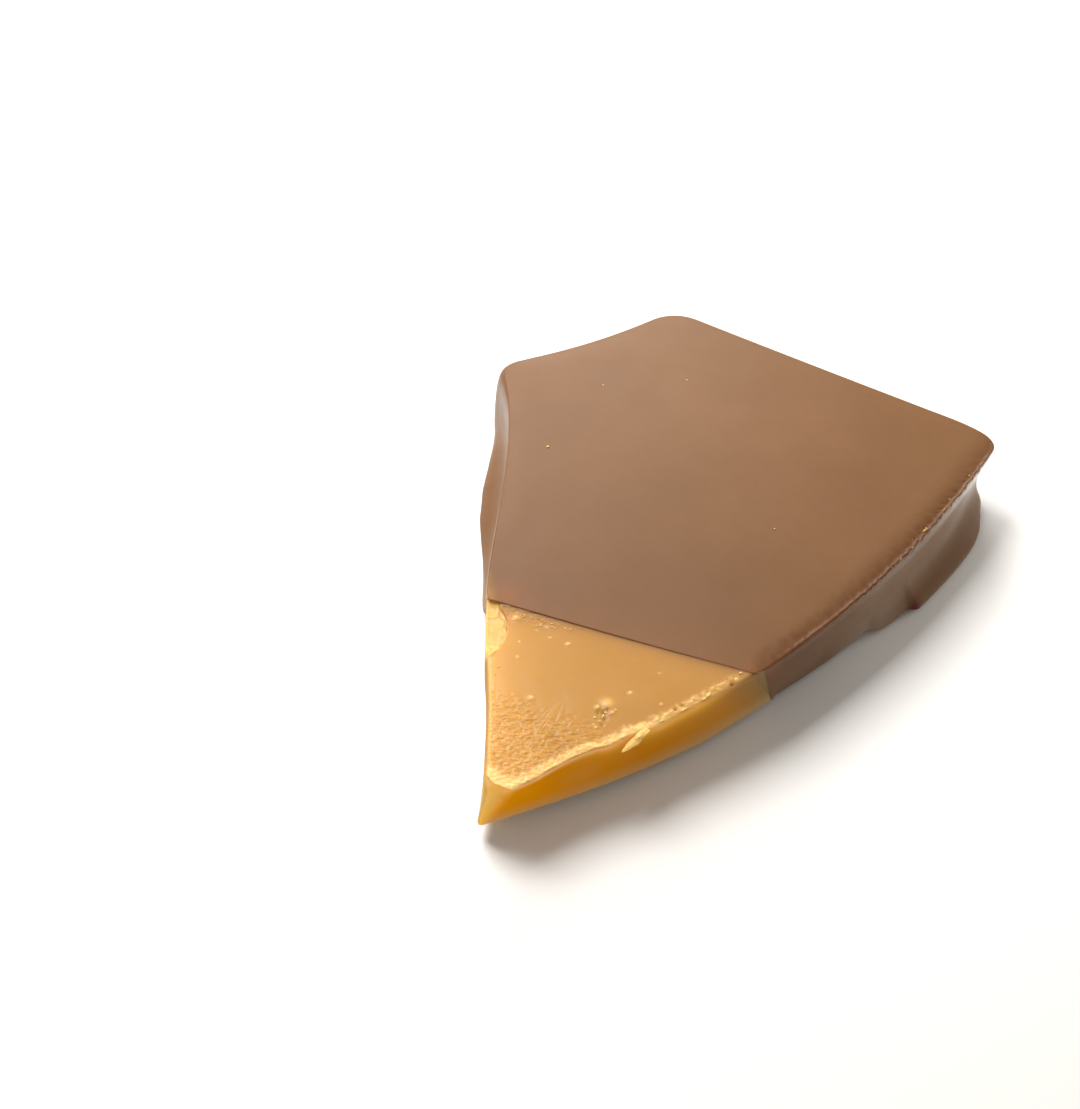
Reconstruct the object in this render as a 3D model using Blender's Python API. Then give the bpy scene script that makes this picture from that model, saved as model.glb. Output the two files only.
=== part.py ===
"""Butter crunch toffee: one broken shard of hard golden toffee, dipped in milk chocolate.

The shard is a flat slab with five uneven corners. Its pointed front corner stays bare, and the
rest wears a thin coat of chocolate that ends on a slanted plane, the level that the shard was
dipped to. While the coat set, it ran down the sides and spread into a foot round the bottom.

+Z is up, the shard lies flat on z = 0, and the bare point is at the front (-Y). The model is in
metres. The sizes below are in millimetres, and MM turns them into metres.
"""

import math
from collections import namedtuple

import bmesh
import bpy
from mathutils import Vector, noise

MM = 0.001

# The slab and its coat, as heights above the floor.
COAT_TOP = 9.9
SLAB_TOP = 9.0
SLAB_BOTTOM = 1.0
GAP = 0.3  # clearance between the toffee and the coat

# The shard seen from above. Each corner has its sharp position, the lengths that its rounding
# takes from the edges before and after it, and the bow of the edge after it: out is positive.
Corner = namedtuple("Corner", "x y before after bow steps")
CORNERS = (
    Corner(-29.3, -34.9, 0.9, 0.9, 6.3, 54),  # the bare point, then the long curved front edge
    Corner(31.0, 14.6, 2.8, 6.5, -0.1, 10),  # right corner, then the back edge
    Corner(-6.8, 36.1, 3.6, 3.6, -1.1, 7),  # back corner, then the short back edge
    Corner(-28.6, 25.5, 2.6, 2.4, 0.0, 3),  # left corner, then the top of the left edge
    Corner(-26.9, 15.5, 5.5, 9.0, 0.0, 8),  # the hollow of the left edge
    Corner(-29.4, -9.0, 5.0, 5.0, 0.0, 8),  # near the dip line, then the bare left edge
)
ROUNDING_STEPS = 7
# Under the coat the bare point isn't needed and the toffee's right corner is blunter.
COVERED_POINT = {"before": 9.0, "after": 9.0}
COAT_ROUNDINGS = {0: COVERED_POINT}
CORE_ROUNDINGS = {0: COVERED_POINT, 1: {"before": 5.0, "after": 7.0}}

# The dip line runs over the top from the left edge to the front edge. Its plane leans back, so
# that the coat ends further from the bare point at the bottom than at the top.
DIP_LEFT = (-29.3, -10.6)
DIP_RIGHT = (-2.9, -19.6)
DIP_LEAN = math.radians(21.5)

# Places round the outline are stations: the number of the edge plus the share of it walked.
# The foot is how far the chocolate spreads at the floor, with a short lobe and a nick before the
# big lobe on the front edge.
FOOT = (
    (0.0, 0.0), (0.36, -0.35), (0.45, -0.35), (0.52, -0.1), (0.58, 0.2), (0.645, 0.4),
    (0.66, 1.15), (0.68, 1.55), (0.715, 1.75), (0.722, 1.9), (0.732, 2.6), (0.78, 2.8),
    (0.85, 3.0), (0.88, 3.0), (0.916, 2.5), (0.937, 1.85), (0.959, 1.2), (1.0, 0.3), (1.1, 0.4),
    (1.3, 1.0), (1.5, 1.6), (1.8, 1.1), (2.0, 1.0), (2.5, 1.6), (3.0, 0.9), (3.2, 1.0),
    (3.75, 2.3), (4.0, 2.85), (4.12, 3.1), (4.29, 3.05), (4.43, 2.55), (4.58, 1.85), (4.71, 1.4),
    (4.82, 1.15), (4.95, 0.5), (5.0, 0.35), (5.2, 0.0), (6.0, 0.0),
)
# The sides hollow between the top and the foot, most of all under the right corner.
WAIST = (
    (0.0, 0.0), (0.8, 0.1), (0.93, 0.6), (1.0, 1.5), (1.06, 1.2), (1.25, 0.4), (1.6, 0.1),
    (3.0, -0.4), (3.3, -0.3), (4.0, 0.3), (4.4, 0.3), (4.8, 0.0), (6.0, 0.0),
)
# How far the toffee inside keeps behind the visible edge of the coat, and under its own face.
CORE_DROP = 0.05
CORE_OVERLAP = 0.5  # how far it reaches into the bare corner
CORE_INSET = (
    (0.0, 0.4), (0.36, 0.4), (0.48, 0.75), (0.85, 0.85), (0.94, 1.5), (1.0, 2.5), (1.1, 2.0),
    (1.3, 1.2), (1.6, 0.9), (3.0, 0.9), (4.2, 1.0), (4.8, 0.75), (5.0, 0.5), (5.1, 0.4),
    (6.0, 0.4),
)
# The side of the coat from the floor up: height, offset from the visible top edge, and the
# shares of the foot and the waist that it takes there.
COAT_LEVELS = (
    (0.00, -0.70, 0.82, 0.00), (0.25, -0.28, 0.96, 0.00), (0.75, -0.05, 1.00, 0.00),
    (1.50, 0.05, 0.80, 0.10), (2.40, 0.10, 0.50, 0.45), (3.60, 0.15, 0.22, 0.80),
    (5.20, 0.20, 0.05, 1.00), (7.00, 0.25, 0.00, 0.75), (8.40, 0.25, 0.00, 0.35),
    (9.20, 0.12, 0.00, 0.10), (9.65, -0.22, 0.00, 0.00), (9.86, -0.75, 0.00, 0.00),
)
COAT_EDGE_LEVEL = 10  # the level that carries the burr
COAT_MIDDLE = (-2.0, 6.0)
COAT_TOP_SHARES = (0.93, 0.80, 0.55, 0.25)  # rings of the top, towards the middle
COAT_CROWN = 0.12  # how much the middle of the top stands above its rim

# The bare corner: its point droops at the top and is undercut at the bottom.
POINT_REACH = 26.0
POINT_DROOP = 0.7
POINT_RISE = 0.7
POINT_UNDERCUT = (-0.35, 1.3)  # the way that the underside's point keeps back
EDGE_ROUND = 0.25
BARE_MIDDLE = (-16.0, -19.5)
BARE_SHARES = (0.96, 0.88, 0.76, 0.62, 0.45, 0.25)
SUGAR_RIPPLE = 0.05  # height of the uneven, sugary surface near the point

# The point is broken off along a steep facet through these three places.
POINT_FACET = ((-28.9, -32.4, 8.4), (-26.3, -33.4, 8.4), (-29.7, -34.4, 1.9))

# A flake has come off the top of the left edge just below the coat: its scar's middle, half
# width, half length and number of sides, and how far its floor leans out to the left.
FLAKE_SCAR = (-29.6, -14.1, 8.2)
FLAKE_SCAR_RADII = (2.6, 3.8)
FLAKE_SCAR_SIDES = 9
FLAKE_SCAR_LEAN = math.radians(13.0)

# A pit beside the right end of the dip line.
PIT = (-3.9, -21.3, 9.05)
PIT_RADII = (0.45, 0.45, 0.4)

# Lumps on the toffee: centre, radii and how far each is turned and tipped, in degrees.
LUMP_ROUGHNESS = 0.7
LUMP_GRAIN = 1.4
Lump = namedtuple("Lump", "x y z length width height turn tip")
TOFFEE_LUMPS = (
    Lump(-16.6, -23.2, 8.85, 0.95, 0.75, 0.40, 20, 0),  # a blister, with crumbs before it
    Lump(-17.7, -23.7, 8.90, 0.50, 0.35, 0.40, 30, 0),
    Lump(-16.0, -24.5, 8.90, 0.60, 0.30, 0.35, -20, 0),
    Lump(-17.2, -25.0, 8.85, 0.45, 0.35, 0.35, 70, 0),
    Lump(-17.7, -26.2, 8.80, 0.50, 0.30, 0.35, 10, 0),
    Lump(-11.0, -25.5, 8.90, 0.60, 0.40, 0.35, 30, 0),  # a crumb near the front edge
    Lump(-14.5, -28.1, 8.60, 1.90, 0.50, 0.40, 48, 24),  # a flake folded over the front edge
)
# A rough ridge along the front edge of the bare corner: the stations of its first and last lump.
TOFFEE_RIDGE = (0.275, 0.370)
TOFFEE_RIDGE_LUMPS = 9
TOFFEE_RIDGE_RADII = (0.85, 0.38, 0.34)
# A ragged burr along the top of the coat's front edge: the stations between which it stands, and
# how high it rises over the edge.
COAT_BURR = (0.62, 0.95)
COAT_BURR_HEIGHT = 0.22

COLOURS = {
    "toffee": ((0.72, 0.37, 0.10, 1.0), 0.35),
    "milk_chocolate": ((0.26, 0.13, 0.065, 1.0), 0.45),
}


def clear_scene():
    for old in list(bpy.data.objects):
        bpy.data.objects.remove(old, do_unlink=True)


def at_station(stations, station):
    """The value at a station, read smoothly between the ones that are given."""
    for (start, first), (end, second) in zip(stations, stations[1:]):
        if start <= station <= end:
            share = (station - start) / (end - start)
            return first + (second - first) * (3 - 2 * share) * share * share
    return stations[-1][1]


def edge_point(edge, share):
    """A point of the bowed edge that starts at this corner."""
    corner, following = CORNERS[edge], CORNERS[(edge + 1) % len(CORNERS)]
    start, end = Vector((corner.x, corner.y)), Vector((following.x, following.y))
    outwards = Vector((end.y - start.y, start.x - end.x)).normalized()
    return start.lerp(end, share) + outwards * (4 * corner.bow * share * (1 - share))


def edge_length(edge):
    corner, following = CORNERS[edge], CORNERS[(edge + 1) % len(CORNERS)]
    return math.dist((corner.x, corner.y), (following.x, following.y))


def outline(roundings):
    """The visible top edge as (station, point, outward normal), counterclockwise from above.

    The roundings of some corners may be given, by the corner's number.
    """
    corners = [corner._replace(**roundings.get(edge, {})) for edge, corner in enumerate(CORNERS)]
    walk = []
    for edge, corner in enumerate(corners):
        before = (edge - 1) % len(corners)
        start_share = corner.after / edge_length(edge)
        end_share = 1 - corners[(edge + 1) % len(corners)].before / edge_length(edge)
        rounding_start = edge_point(before, 1 - corner.before / edge_length(before))
        rounding_end = edge_point(edge, start_share)
        sharp = Vector((corner.x, corner.y))
        for step in range(ROUNDING_STEPS):
            share = step / ROUNDING_STEPS
            point = rounding_start.lerp(sharp, share).lerp(sharp.lerp(rounding_end, share), share)
            turned = 2 * share - 1
            reach = start_share if turned > 0 else corner.before / edge_length(before)
            walk.append(((edge + turned * reach) % len(corners), point))
        for step in range(corner.steps):
            share = start_share + (end_share - start_share) * step / corner.steps
            walk.append((edge + share, edge_point(edge, share)))
    found = []
    for index, (station, point) in enumerate(walk):
        along = (walk[(index + 1) % len(walk)][1] - walk[index - 1][1]).normalized()
        found.append((station, point, Vector((along.y, -along.x))))
    return found


def ring(offset_at, height_at, roundings):
    """One closed loop of points: the outline moved outwards, at the height of each place."""
    loop = []
    for station, point, normal in outline(roundings):
        place = point + normal * offset_at(station)
        loop.append(Vector((place.x, place.y, height_at(station, place))))
    return loop


def shrunk(loop, middle, share, height_at):
    """A loop drawn in towards a middle, at the height of each place."""
    centre = Vector(middle)
    places = [centre + (Vector(point[:2]) - centre) * share for point in loop]
    return [Vector((place.x, place.y, height_at(place))) for place in places]


def loft(name, loops):
    """A closed solid through unlike loops of the same length, from its bottom to its top."""
    shape = bmesh.new()
    rows = [[shape.verts.new(point * MM) for point in loop] for loop in loops]
    shape.faces.new(reversed(rows[0]))
    for low, high in zip(rows, rows[1:]):
        for index in range(len(low)):
            after = (index + 1) % len(low)
            shape.faces.new((low[index], low[after], high[after], high[index]))
    shape.faces.new(rows[-1])
    return as_object(name, shape)


def as_object(name, shape):
    mesh = bpy.data.meshes.new(name)
    shape.to_mesh(mesh)
    shape.free()
    made = bpy.data.objects.new(name, mesh)
    bpy.context.scene.collection.objects.link(made)
    return made


def half_space(name, point, outwards):
    """A large block whose face lies in a plane, with the block on the side of the normal."""
    size = 160.0
    bpy.ops.mesh.primitive_cube_add(size=size * MM)
    block = bpy.context.object
    block.name = name
    block.rotation_mode = "QUATERNION"
    block.rotation_quaternion = outwards.to_track_quat("Z", "Y")
    block.location = (Vector(point) + outwards.normalized() * size / 2) * MM
    return block


def dip_block(name, forward):
    """The space before the dip plane, moved forward by a clearance."""
    left, right = Vector((*DIP_LEFT, COAT_TOP)), Vector((*DIP_RIGHT, COAT_TOP))
    along = (right - left).normalized()
    front = Vector((along.y, -along.x, 0.0))
    outwards = front * math.cos(DIP_LEAN) - Vector((0, 0, math.sin(DIP_LEAN)))
    return half_space(name, left + outwards * forward, outwards)


def lump(name, shape, detail=2):
    """A small uneven lump with few sides."""
    bpy.ops.mesh.primitive_ico_sphere_add(subdivisions=detail, radius=1.0)
    made = bpy.context.object
    made.name = name
    for vertex in made.data.vertices:
        place = vertex.co * LUMP_GRAIN + Vector((shape.x, shape.y, 0.0))
        vertex.co *= 1 + LUMP_ROUGHNESS * noise.noise(place)
    made.scale = [size * MM for size in (shape.length, shape.width, shape.height)]
    made.rotation_euler = (0.0, math.radians(shape.tip), math.radians(shape.turn))
    made.location = Vector((shape.x, shape.y, shape.z)) * MM
    return made


def ridge():
    """Lumps of uneven size in an uneven row along the front edge of the bare corner."""
    first, last = TOFFEE_RIDGE
    made = []
    for index in range(TOFFEE_RIDGE_LUMPS):
        station = first + (last - first) * index / (TOFFEE_RIDGE_LUMPS - 1)
        uneven = 0.7 + 0.5 * abs(math.sin(2.4 * index + 0.7))
        along = edge_point(0, station + 0.01) - edge_point(0, station - 0.01)
        inwards = Vector((-along.y, along.x)).normalized()
        place = edge_point(0, station) + inwards * (0.45 + 0.2 * math.sin(3.7 * index))
        turn = math.degrees(math.atan2(along.y, along.x)) + 25 * math.sin(5.1 * index)
        radii = [size * uneven for size in TOFFEE_RIDGE_RADII]
        shape = Lump(place.x, place.y, bare_top(place) - 0.1, *radii, turn, 0)
        made.append(lump(f"ridge_{index}", shape))
    return made


def flake_scar():
    """A leaning prism that takes the flake out of the left edge."""
    bpy.ops.mesh.primitive_cylinder_add(vertices=FLAKE_SCAR_SIDES, radius=1.0, depth=2.0)
    made = bpy.context.object
    made.name = "flake_scar"
    height = 2.0
    made.scale = [size * MM for size in (*FLAKE_SCAR_RADII, height)]
    made.rotation_euler.y = -FLAKE_SCAR_LEAN
    lift = made.rotation_euler.to_matrix() @ Vector((0, 0, height))
    made.location = (Vector(FLAKE_SCAR) + lift) * MM
    return made


def boolean(target, operation, tools, solver="EXACT"):
    """One Boolean with the union of the tools, applied, after which the tools are removed."""
    group = bpy.data.collections.new("tools")
    for tool in tools:
        group.objects.link(tool)
    modifier = target.modifiers.new(operation.title(), "BOOLEAN")
    modifier.operation = operation
    modifier.solver = solver
    modifier.operand_type = "COLLECTION"
    modifier.collection = group
    bpy.context.view_layer.update()
    graph = bpy.context.evaluated_depsgraph_get()
    mesh = bpy.data.meshes.new_from_object(target.evaluated_get(graph))
    target.modifiers.clear()
    target.data = mesh
    for tool in tools:
        bpy.data.objects.remove(tool, do_unlink=True)
    bpy.data.collections.remove(group)


def nearness(place):
    """1 at the bare point, falling to 0 where the slab reaches its full thickness."""
    point = CORNERS[0]
    return max(0.0, 1 - math.dist(place, (point.x, point.y)) / POINT_REACH)


def bare_top(place):
    near = nearness(place)
    ripple = math.sin(2.3 * place.x) * math.sin(2.1 * place.y + 0.6)
    return SLAB_TOP - POINT_DROOP * near**1.5 + SUGAR_RIPPLE * min(1.0, 3 * near) * ripple


def bare_bottom(place):
    return SLAB_BOTTOM + POINT_RISE * nearness(place) ** 1.5


def burr(station):
    """The ragged burr's height at a station, rising and falling between its two ends."""
    first, last = COAT_BURR
    if not first < station < last:
        return 0.0
    swell = math.sin(math.pi * (station - first) / (last - first))
    ragged = 0.5 + 0.5 * math.sin(station * 410) * math.sin(station * 173 + 1.0)
    return COAT_BURR_HEIGHT * swell * ragged


def bare_corner():
    """The toffee that shows: the slab's own outline, cut off just before the coat."""
    levels = ((0.0, -EDGE_ROUND), (0.06, 0.0), (0.5, 0.08), (0.93, 0.08), (1.0, -EDGE_ROUND / 3))
    loops = []
    for share, offset in levels:
        loop = ring(
            lambda _: offset,
            lambda _, place: bare_bottom(place) * (1 - share) + bare_top(place) * share,
            {},
        )
        for point in loop:
            undercut = Vector((*POINT_UNDERCUT, 0.0)) * nearness(point[:2])
            point += undercut * (1 - share)
        loops.append(loop)
    outer_bottom, outer_top = loops[0], loops[-1]
    under = [shrunk(outer_bottom, BARE_MIDDLE, share, bare_bottom) for share in (0.4, 0.8)]
    over = [shrunk(outer_top, BARE_MIDDLE, share, bare_top) for share in BARE_SHARES]
    corner = loft("bare_corner", under + loops + over)
    boolean(corner, "INTERSECT", [dip_block("dip_front", GAP)])
    facet = [Vector(place) for place in POINT_FACET]
    outwards = (facet[2] - facet[0]).cross(facet[1] - facet[0])
    boolean(corner, "DIFFERENCE", [half_space("point_facet", facet[0], outwards)])
    return corner


def core(name, grown):
    """The toffee under the coat, or the room for it when it is grown by the clearance."""
    chamfer = 0.5
    bottom = SLAB_BOTTOM + CORE_DROP - grown
    top = SLAB_TOP - CORE_DROP + grown
    levels = ((bottom, -chamfer), (bottom + chamfer, 0.0), (top - chamfer, 0.0), (top, -chamfer))
    loops = [
        ring(
            lambda station: grown + offset - at_station(CORE_INSET, station),
            lambda *_: height,
            CORE_ROUNDINGS,
        )
        for height, offset in levels
    ]
    return loft(name, loops)


def make_toffee():
    """The slab runs through under the coat, and its bare corner carries chips and lumps."""
    toffee = core("toffee", 0.0)
    boolean(toffee, "DIFFERENCE", [dip_block("core_end", GAP + CORE_OVERLAP)])
    boolean(toffee, "UNION", [bare_corner()])
    pit = lump("pit", Lump(*PIT, *PIT_RADII, 0, 0), detail=1)
    boolean(toffee, "DIFFERENCE", [flake_scar(), pit])
    lumps = [lump(f"lump_{index}", shape) for index, shape in enumerate(TOFFEE_LUMPS)]
    boolean(toffee, "UNION", lumps + ridge())
    return toffee


def make_milk_chocolate():
    """The dipped coat: a shell round the core, open where it ends at the dip plane."""
    loops = []
    for level, (height, base, foot, waist) in enumerate(COAT_LEVELS):
        edge = level == COAT_EDGE_LEVEL
        loops.append(
            ring(
                lambda station: base
                + foot * at_station(FOOT, station)
                - waist * at_station(WAIST, station),
                lambda station, _: height + edge * burr(station),
                COAT_ROUNDINGS,
            )
        )
    crowned = [
        shrunk(loops[-1], COAT_MIDDLE, share, lambda _: COAT_TOP + COAT_CROWN * (1 - share * share))
        for share in COAT_TOP_SHARES
    ]
    coat = loft("milk_chocolate", loops + crowned)
    boolean(coat, "DIFFERENCE", [dip_block("dip", 0.0)])
    boolean(coat, "DIFFERENCE", [core("room", GAP)])
    return coat


def finish(made, collection):
    """The piece moves to the object's collection and takes its own material."""
    colour, roughness = COLOURS[made.name]
    material = bpy.data.materials.new(made.name)
    material.use_nodes = True
    shader = material.node_tree.nodes["Principled BSDF"]
    shader.inputs["Base Color"].default_value = colour
    shader.inputs["Roughness"].default_value = roughness
    made.data.materials.clear()
    made.data.materials.append(material)
    made.data.name = made.name
    bpy.context.scene.collection.objects.unlink(made)
    collection.objects.link(made)
    made.data.shade_smooth()
    made.data.set_sharp_from_angle(angle=math.radians(35))


def main():
    clear_scene()
    shard = bpy.data.collections.new("butter_crunch_toffee")
    bpy.context.scene.collection.children.link(shard)
    for made in (make_toffee(), make_milk_chocolate()):
        finish(made, shard)


main()
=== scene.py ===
# %% [markdown]
# # Butter crunch toffee
# One broken shard of hard golden toffee. It was dipped in milk chocolate up to a slanted line, so
# its pointed corner stays bare. The solids of the toffee and of its coat come ready made. This
# lesson builds the two surfaces again with a fine mesh, because what makes toffee look like toffee
# is small: sugar grain, a lip of chocolate thinner than a fingernail, crumbs along a broken edge.

# %% Load the solids
import math

import bmesh
import bpy
import numpy as np
from mathutils import Matrix, Vector, noise


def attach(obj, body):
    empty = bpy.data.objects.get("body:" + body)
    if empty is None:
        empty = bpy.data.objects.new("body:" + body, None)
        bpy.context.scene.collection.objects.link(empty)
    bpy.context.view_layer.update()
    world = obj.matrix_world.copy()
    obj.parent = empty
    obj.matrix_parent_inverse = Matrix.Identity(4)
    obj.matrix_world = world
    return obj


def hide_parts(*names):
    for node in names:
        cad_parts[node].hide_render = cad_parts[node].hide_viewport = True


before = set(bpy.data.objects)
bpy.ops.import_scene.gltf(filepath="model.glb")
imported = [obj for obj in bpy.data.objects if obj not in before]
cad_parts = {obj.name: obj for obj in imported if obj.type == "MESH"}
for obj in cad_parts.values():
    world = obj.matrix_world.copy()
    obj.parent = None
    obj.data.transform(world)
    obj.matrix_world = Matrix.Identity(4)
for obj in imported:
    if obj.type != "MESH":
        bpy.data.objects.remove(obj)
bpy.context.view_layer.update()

# %% [markdown]
# ## The camera
# The photograph looks down on the shard at about fifty degrees. The camera's place and its three
# axes were worked out from the straight edges of the shard, so they are given as plain numbers.
# All sizes below are in millimetres, and MM turns them into Blender's metres.

# %% Camera
MM = 0.001
PHOTO_HEIGHT = 1109
FOCAL_LENGTH_IN_PIXELS = 1500
SENSOR = 36.0
CAMERA_PLACE = (-26.96, -108.884, 136.334)
CAMERA_AXES = (
    (0.999669, -0.016352, -0.019853),
    (0.0, 0.771880, -0.635768),
    (0.025721, 0.635558, 0.771625),
)

camera_data = bpy.data.cameras.new("camera")
camera_data.sensor_width = SENSOR
camera_data.lens = FOCAL_LENGTH_IN_PIXELS / PHOTO_HEIGHT * SENSOR
camera_data.clip_start = 0.001
camera = bpy.data.objects.new("camera", camera_data)
camera.matrix_world = Matrix.Translation(Vector(CAMERA_PLACE) * MM) @ Matrix(CAMERA_AXES).to_4x4()
bpy.context.scene.collection.objects.link(camera)
bpy.context.scene.camera = camera
print("lens:", round(camera_data.lens, 2), "mm")

# %% [markdown]
# ## The light
# A photographer's tabletop: a white sweep, one large soft light high at the back left, and white
# all round that fills the shadows. A large light close by gives the chocolate its broad satin
# sheen. A weaker light behind and two dim cards lift the sides. The view transform stays plain,
# so that the white floor comes out white.

# %% World and lights
WHITE_ROOM = 0.30
ROOM_COLOUR = (1.0, 0.94, 0.84, 1.0)
KEY_PLACE = (-0.100, 0.100, 0.215)
KEY_SIZE = 0.12
KEY_POWER = 0.88
CARDS = (  # name, place, size, power
    ("right_card", (0.085, 0.035, 0.03), 0.03, 0.018),
    ("front_card", (-0.12, -0.13, 0.05), 0.06, 0.020),
    ("back_light", (-0.02, 0.17, 0.09), 0.10, 0.24),
)
LIGHT_TARGET = (0.0, 0.0, 0.005)

scene = bpy.context.scene
scene.view_settings.view_transform = "Standard"
world = bpy.data.worlds.new("white_room")
scene.world = world
world.use_nodes = True
world.node_tree.nodes["Background"].inputs["Color"].default_value = ROOM_COLOUR
world.node_tree.nodes["Background"].inputs["Strength"].default_value = WHITE_ROOM


def soft_light(name, place, size, power, colour=(1.0, 0.985, 0.96)):
    """A square lamp that looks at the shard."""
    lamp = bpy.data.lights.new(name, "AREA")
    lamp.size = size
    lamp.energy = power
    lamp.color = colour
    made = bpy.data.objects.new(name, lamp)
    made.location = place
    made.rotation_euler = (Vector(LIGHT_TARGET) - Vector(place)).to_track_quat("-Z", "Y").to_euler()
    scene.collection.objects.link(made)
    return made


soft_light("key_light", KEY_PLACE, KEY_SIZE, KEY_POWER)
for card in CARDS:
    soft_light(*card)

# %% [markdown]
# ## The outline
# Seen from above the shard has six corners, each with its own rounding, and edges that bow out or
# in. A place on the outline is a station: the number of the edge plus the share of it walked. With
# the outline as a function, both surfaces can follow it as finely as they need.

# %% Outline of the shard
CORNERS = (  # x, y, rounding before and after, bow of the edge that follows
    (-29.3, -34.9, 0.7, 0.7, 6.3),  # the bare point
    (31.0, 14.6, 2.8, 6.5, -0.1),  # right corner
    (-6.8, 36.1, 3.6, 3.6, -1.1),  # back corner
    (-28.6, 25.5, 2.6, 2.4, 0.0),  # left corner
    (-26.9, 15.5, 5.5, 9.0, 0.0),  # hollow of the left edge
    (-29.4, -9.0, 5.0, 5.0, 0.0),  # near the dip line
)
COVERED_POINT = (9.0, 9.0)
OUTLINE_STEP = 0.12


def edge_points(edge, shares):
    """Points of the bowed edge that starts at this corner."""
    start = np.array(CORNERS[edge][:2])
    end = np.array(CORNERS[(edge + 1) % len(CORNERS)][:2])
    along = end - start
    outwards = np.array((along[1], -along[0])) / np.linalg.norm(along)
    shares = np.asarray(shares, float)[:, None]
    return start + along * shares + outwards * (4 * CORNERS[edge][4] * shares * (1 - shares))


def edge_length(edge):
    return math.dist(CORNERS[edge][:2], CORNERS[(edge + 1) % len(CORNERS)][:2])


print("edges in mm:", [round(edge_length(edge), 1) for edge in range(len(CORNERS))])

# %% [markdown]
# ### Rounded corners
# Each corner is a quadratic curve with one control point. It starts and ends on the two edges,
# and the sharp corner pulls it out, so two lengths are enough to say how soft a corner is.

# %% Walk round the outline
def outline(roundings=None):
    """The closed outline as rows of x, y, station and outward normal, counterclockwise."""
    cuts = [(roundings or {}).get(edge, corner[2:4]) for edge, corner in enumerate(CORNERS)]
    points, stations = [], []
    for edge, (before, after) in enumerate(cuts):
        previous = (edge - 1) % len(CORNERS)
        reach_before = before / edge_length(previous)
        reach_after = after / edge_length(edge)
        reach_end = 1 - cuts[(edge + 1) % len(CORNERS)][0] / edge_length(edge)
        first = edge_points(previous, [1 - reach_before])
        last = edge_points(edge, [reach_after])
        sharp = np.array([CORNERS[edge][:2]])
        steps = max(12, round((before + after) / OUTLINE_STEP))
        share = (np.arange(steps) / steps)[:, None]
        points.append((first * (1 - share) + sharp * share) * (1 - share)
                      + (sharp * (1 - share) + last * share) * share)
        turned = 2 * share[:, 0] - 1
        stations.append(edge + turned * np.where(turned > 0, reach_after, reach_before))
        steps = max(2, round((reach_end - reach_after) * edge_length(edge) / OUTLINE_STEP))
        shares = reach_after + (reach_end - reach_after) * np.arange(steps) / steps
        points.append(edge_points(edge, shares))
        stations.append(edge + shares)
    points = np.concatenate(points)
    stations = np.concatenate(stations) % len(CORNERS)
    along = np.roll(points, -1, axis=0) - np.roll(points, 1, axis=0)
    along /= np.linalg.norm(along, axis=1)[:, None]
    return np.column_stack([points, stations, along[:, 1], -along[:, 0]])


BARE_OUTLINE = outline()
COAT_OUTLINE = outline({0: COVERED_POINT})
print("outline points:", len(BARE_OUTLINE), "and", len(COAT_OUTLINE))

# %% [markdown]
# ### Tables along the outline
# Much of the shape changes along the outline: a foot spreads, a side leans. A short table of
# stations and values holds each of these, and is read on a smooth curve between its rows.

# %% Read a table
def at_station(table, stations):
    """The table's value at each station, on a smooth curve that never overshoots."""
    keys, values = np.array(table, float).T
    steps = np.diff(keys)
    rises = np.diff(values) / steps
    same_way = rises[:-1] * rises[1:]
    total = rises[:-1] + rises[1:]
    slopes = np.zeros_like(values)
    slopes[1:-1] = np.where(same_way > 0, 2 * same_way / np.where(total == 0, 1, total), 0)
    index = np.clip(np.searchsorted(keys, stations, side="right") - 1, 0, len(keys) - 2)
    step = steps[index]
    share = np.clip((stations - keys[index]) / step, 0, 1)
    rest = 1 - share
    return ((1 + 2 * share) * rest**2 * values[index] + share * rest**2 * step * slopes[index]
            + share**2 * (3 - 2 * share) * values[index + 1]
            - share**2 * rest * step * slopes[index + 1])


print("half way up a table:", at_station(((0.0, 0.0), (1.0, 2.0)), np.array([0.5])))

# %% [markdown]
# ## The dip line
# The shard was held by its point and lowered into the chocolate, so the coat ends on a plane. The
# plane leans back. How far a place lies behind it decides nearly everything about the coat's edge:
# how thick the chocolate is there, what colour shines through, and where the toffee goes under.

# %% Dip plane
COAT_TOP, SLAB_TOP, SLAB_BOTTOM = 9.9, 9.0, 1.0
DIP_LEFT = np.array((-29.3, -10.6))
DIP_RIGHT = np.array((-2.9, -19.6))
DIP_LEAN = math.radians(21.5)
dip_along = (DIP_RIGHT - DIP_LEFT) / np.linalg.norm(DIP_RIGHT - DIP_LEFT)
DIP_FRONT = np.array((dip_along[1], -dip_along[0]))


def behind_dip(x, y, z=COAT_TOP):
    """How far each place lies behind the dip plane, level with it."""
    ahead = (x - DIP_LEFT[0]) * DIP_FRONT[0] + (y - DIP_LEFT[1]) * DIP_FRONT[1]
    return (z - COAT_TOP) * math.tan(DIP_LEAN) - ahead


def ease(value, start=0.0, end=1.0):
    """0 before the start and 1 after the end, with a smooth way between."""
    share = np.clip((value - start) / (end - start), 0, 1)
    return share * share * (3 - 2 * share)


def soft_spot(distance, radius):
    """1 at no distance, falling softly to almost 0 at twice the radius."""
    return np.exp(-(distance / radius) ** 2)


LIP_LENGTH = 27.0
LIP_STEP = 0.10
LIP_STEP_LENGTH = 0.12
LIP_SINK = 0.02


def lip_height(behind):
    """The coat's share of its full thickness: a small round step, then a long gentle rise."""
    near = np.clip(behind, 0, None)
    step = 1 - np.exp(-near / LIP_STEP_LENGTH)
    swell = ease(near / LIP_LENGTH, -0.12, 1.0)
    return -LIP_SINK + (LIP_STEP + LIP_SINK) * step + (1 - LIP_STEP) * swell


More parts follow.
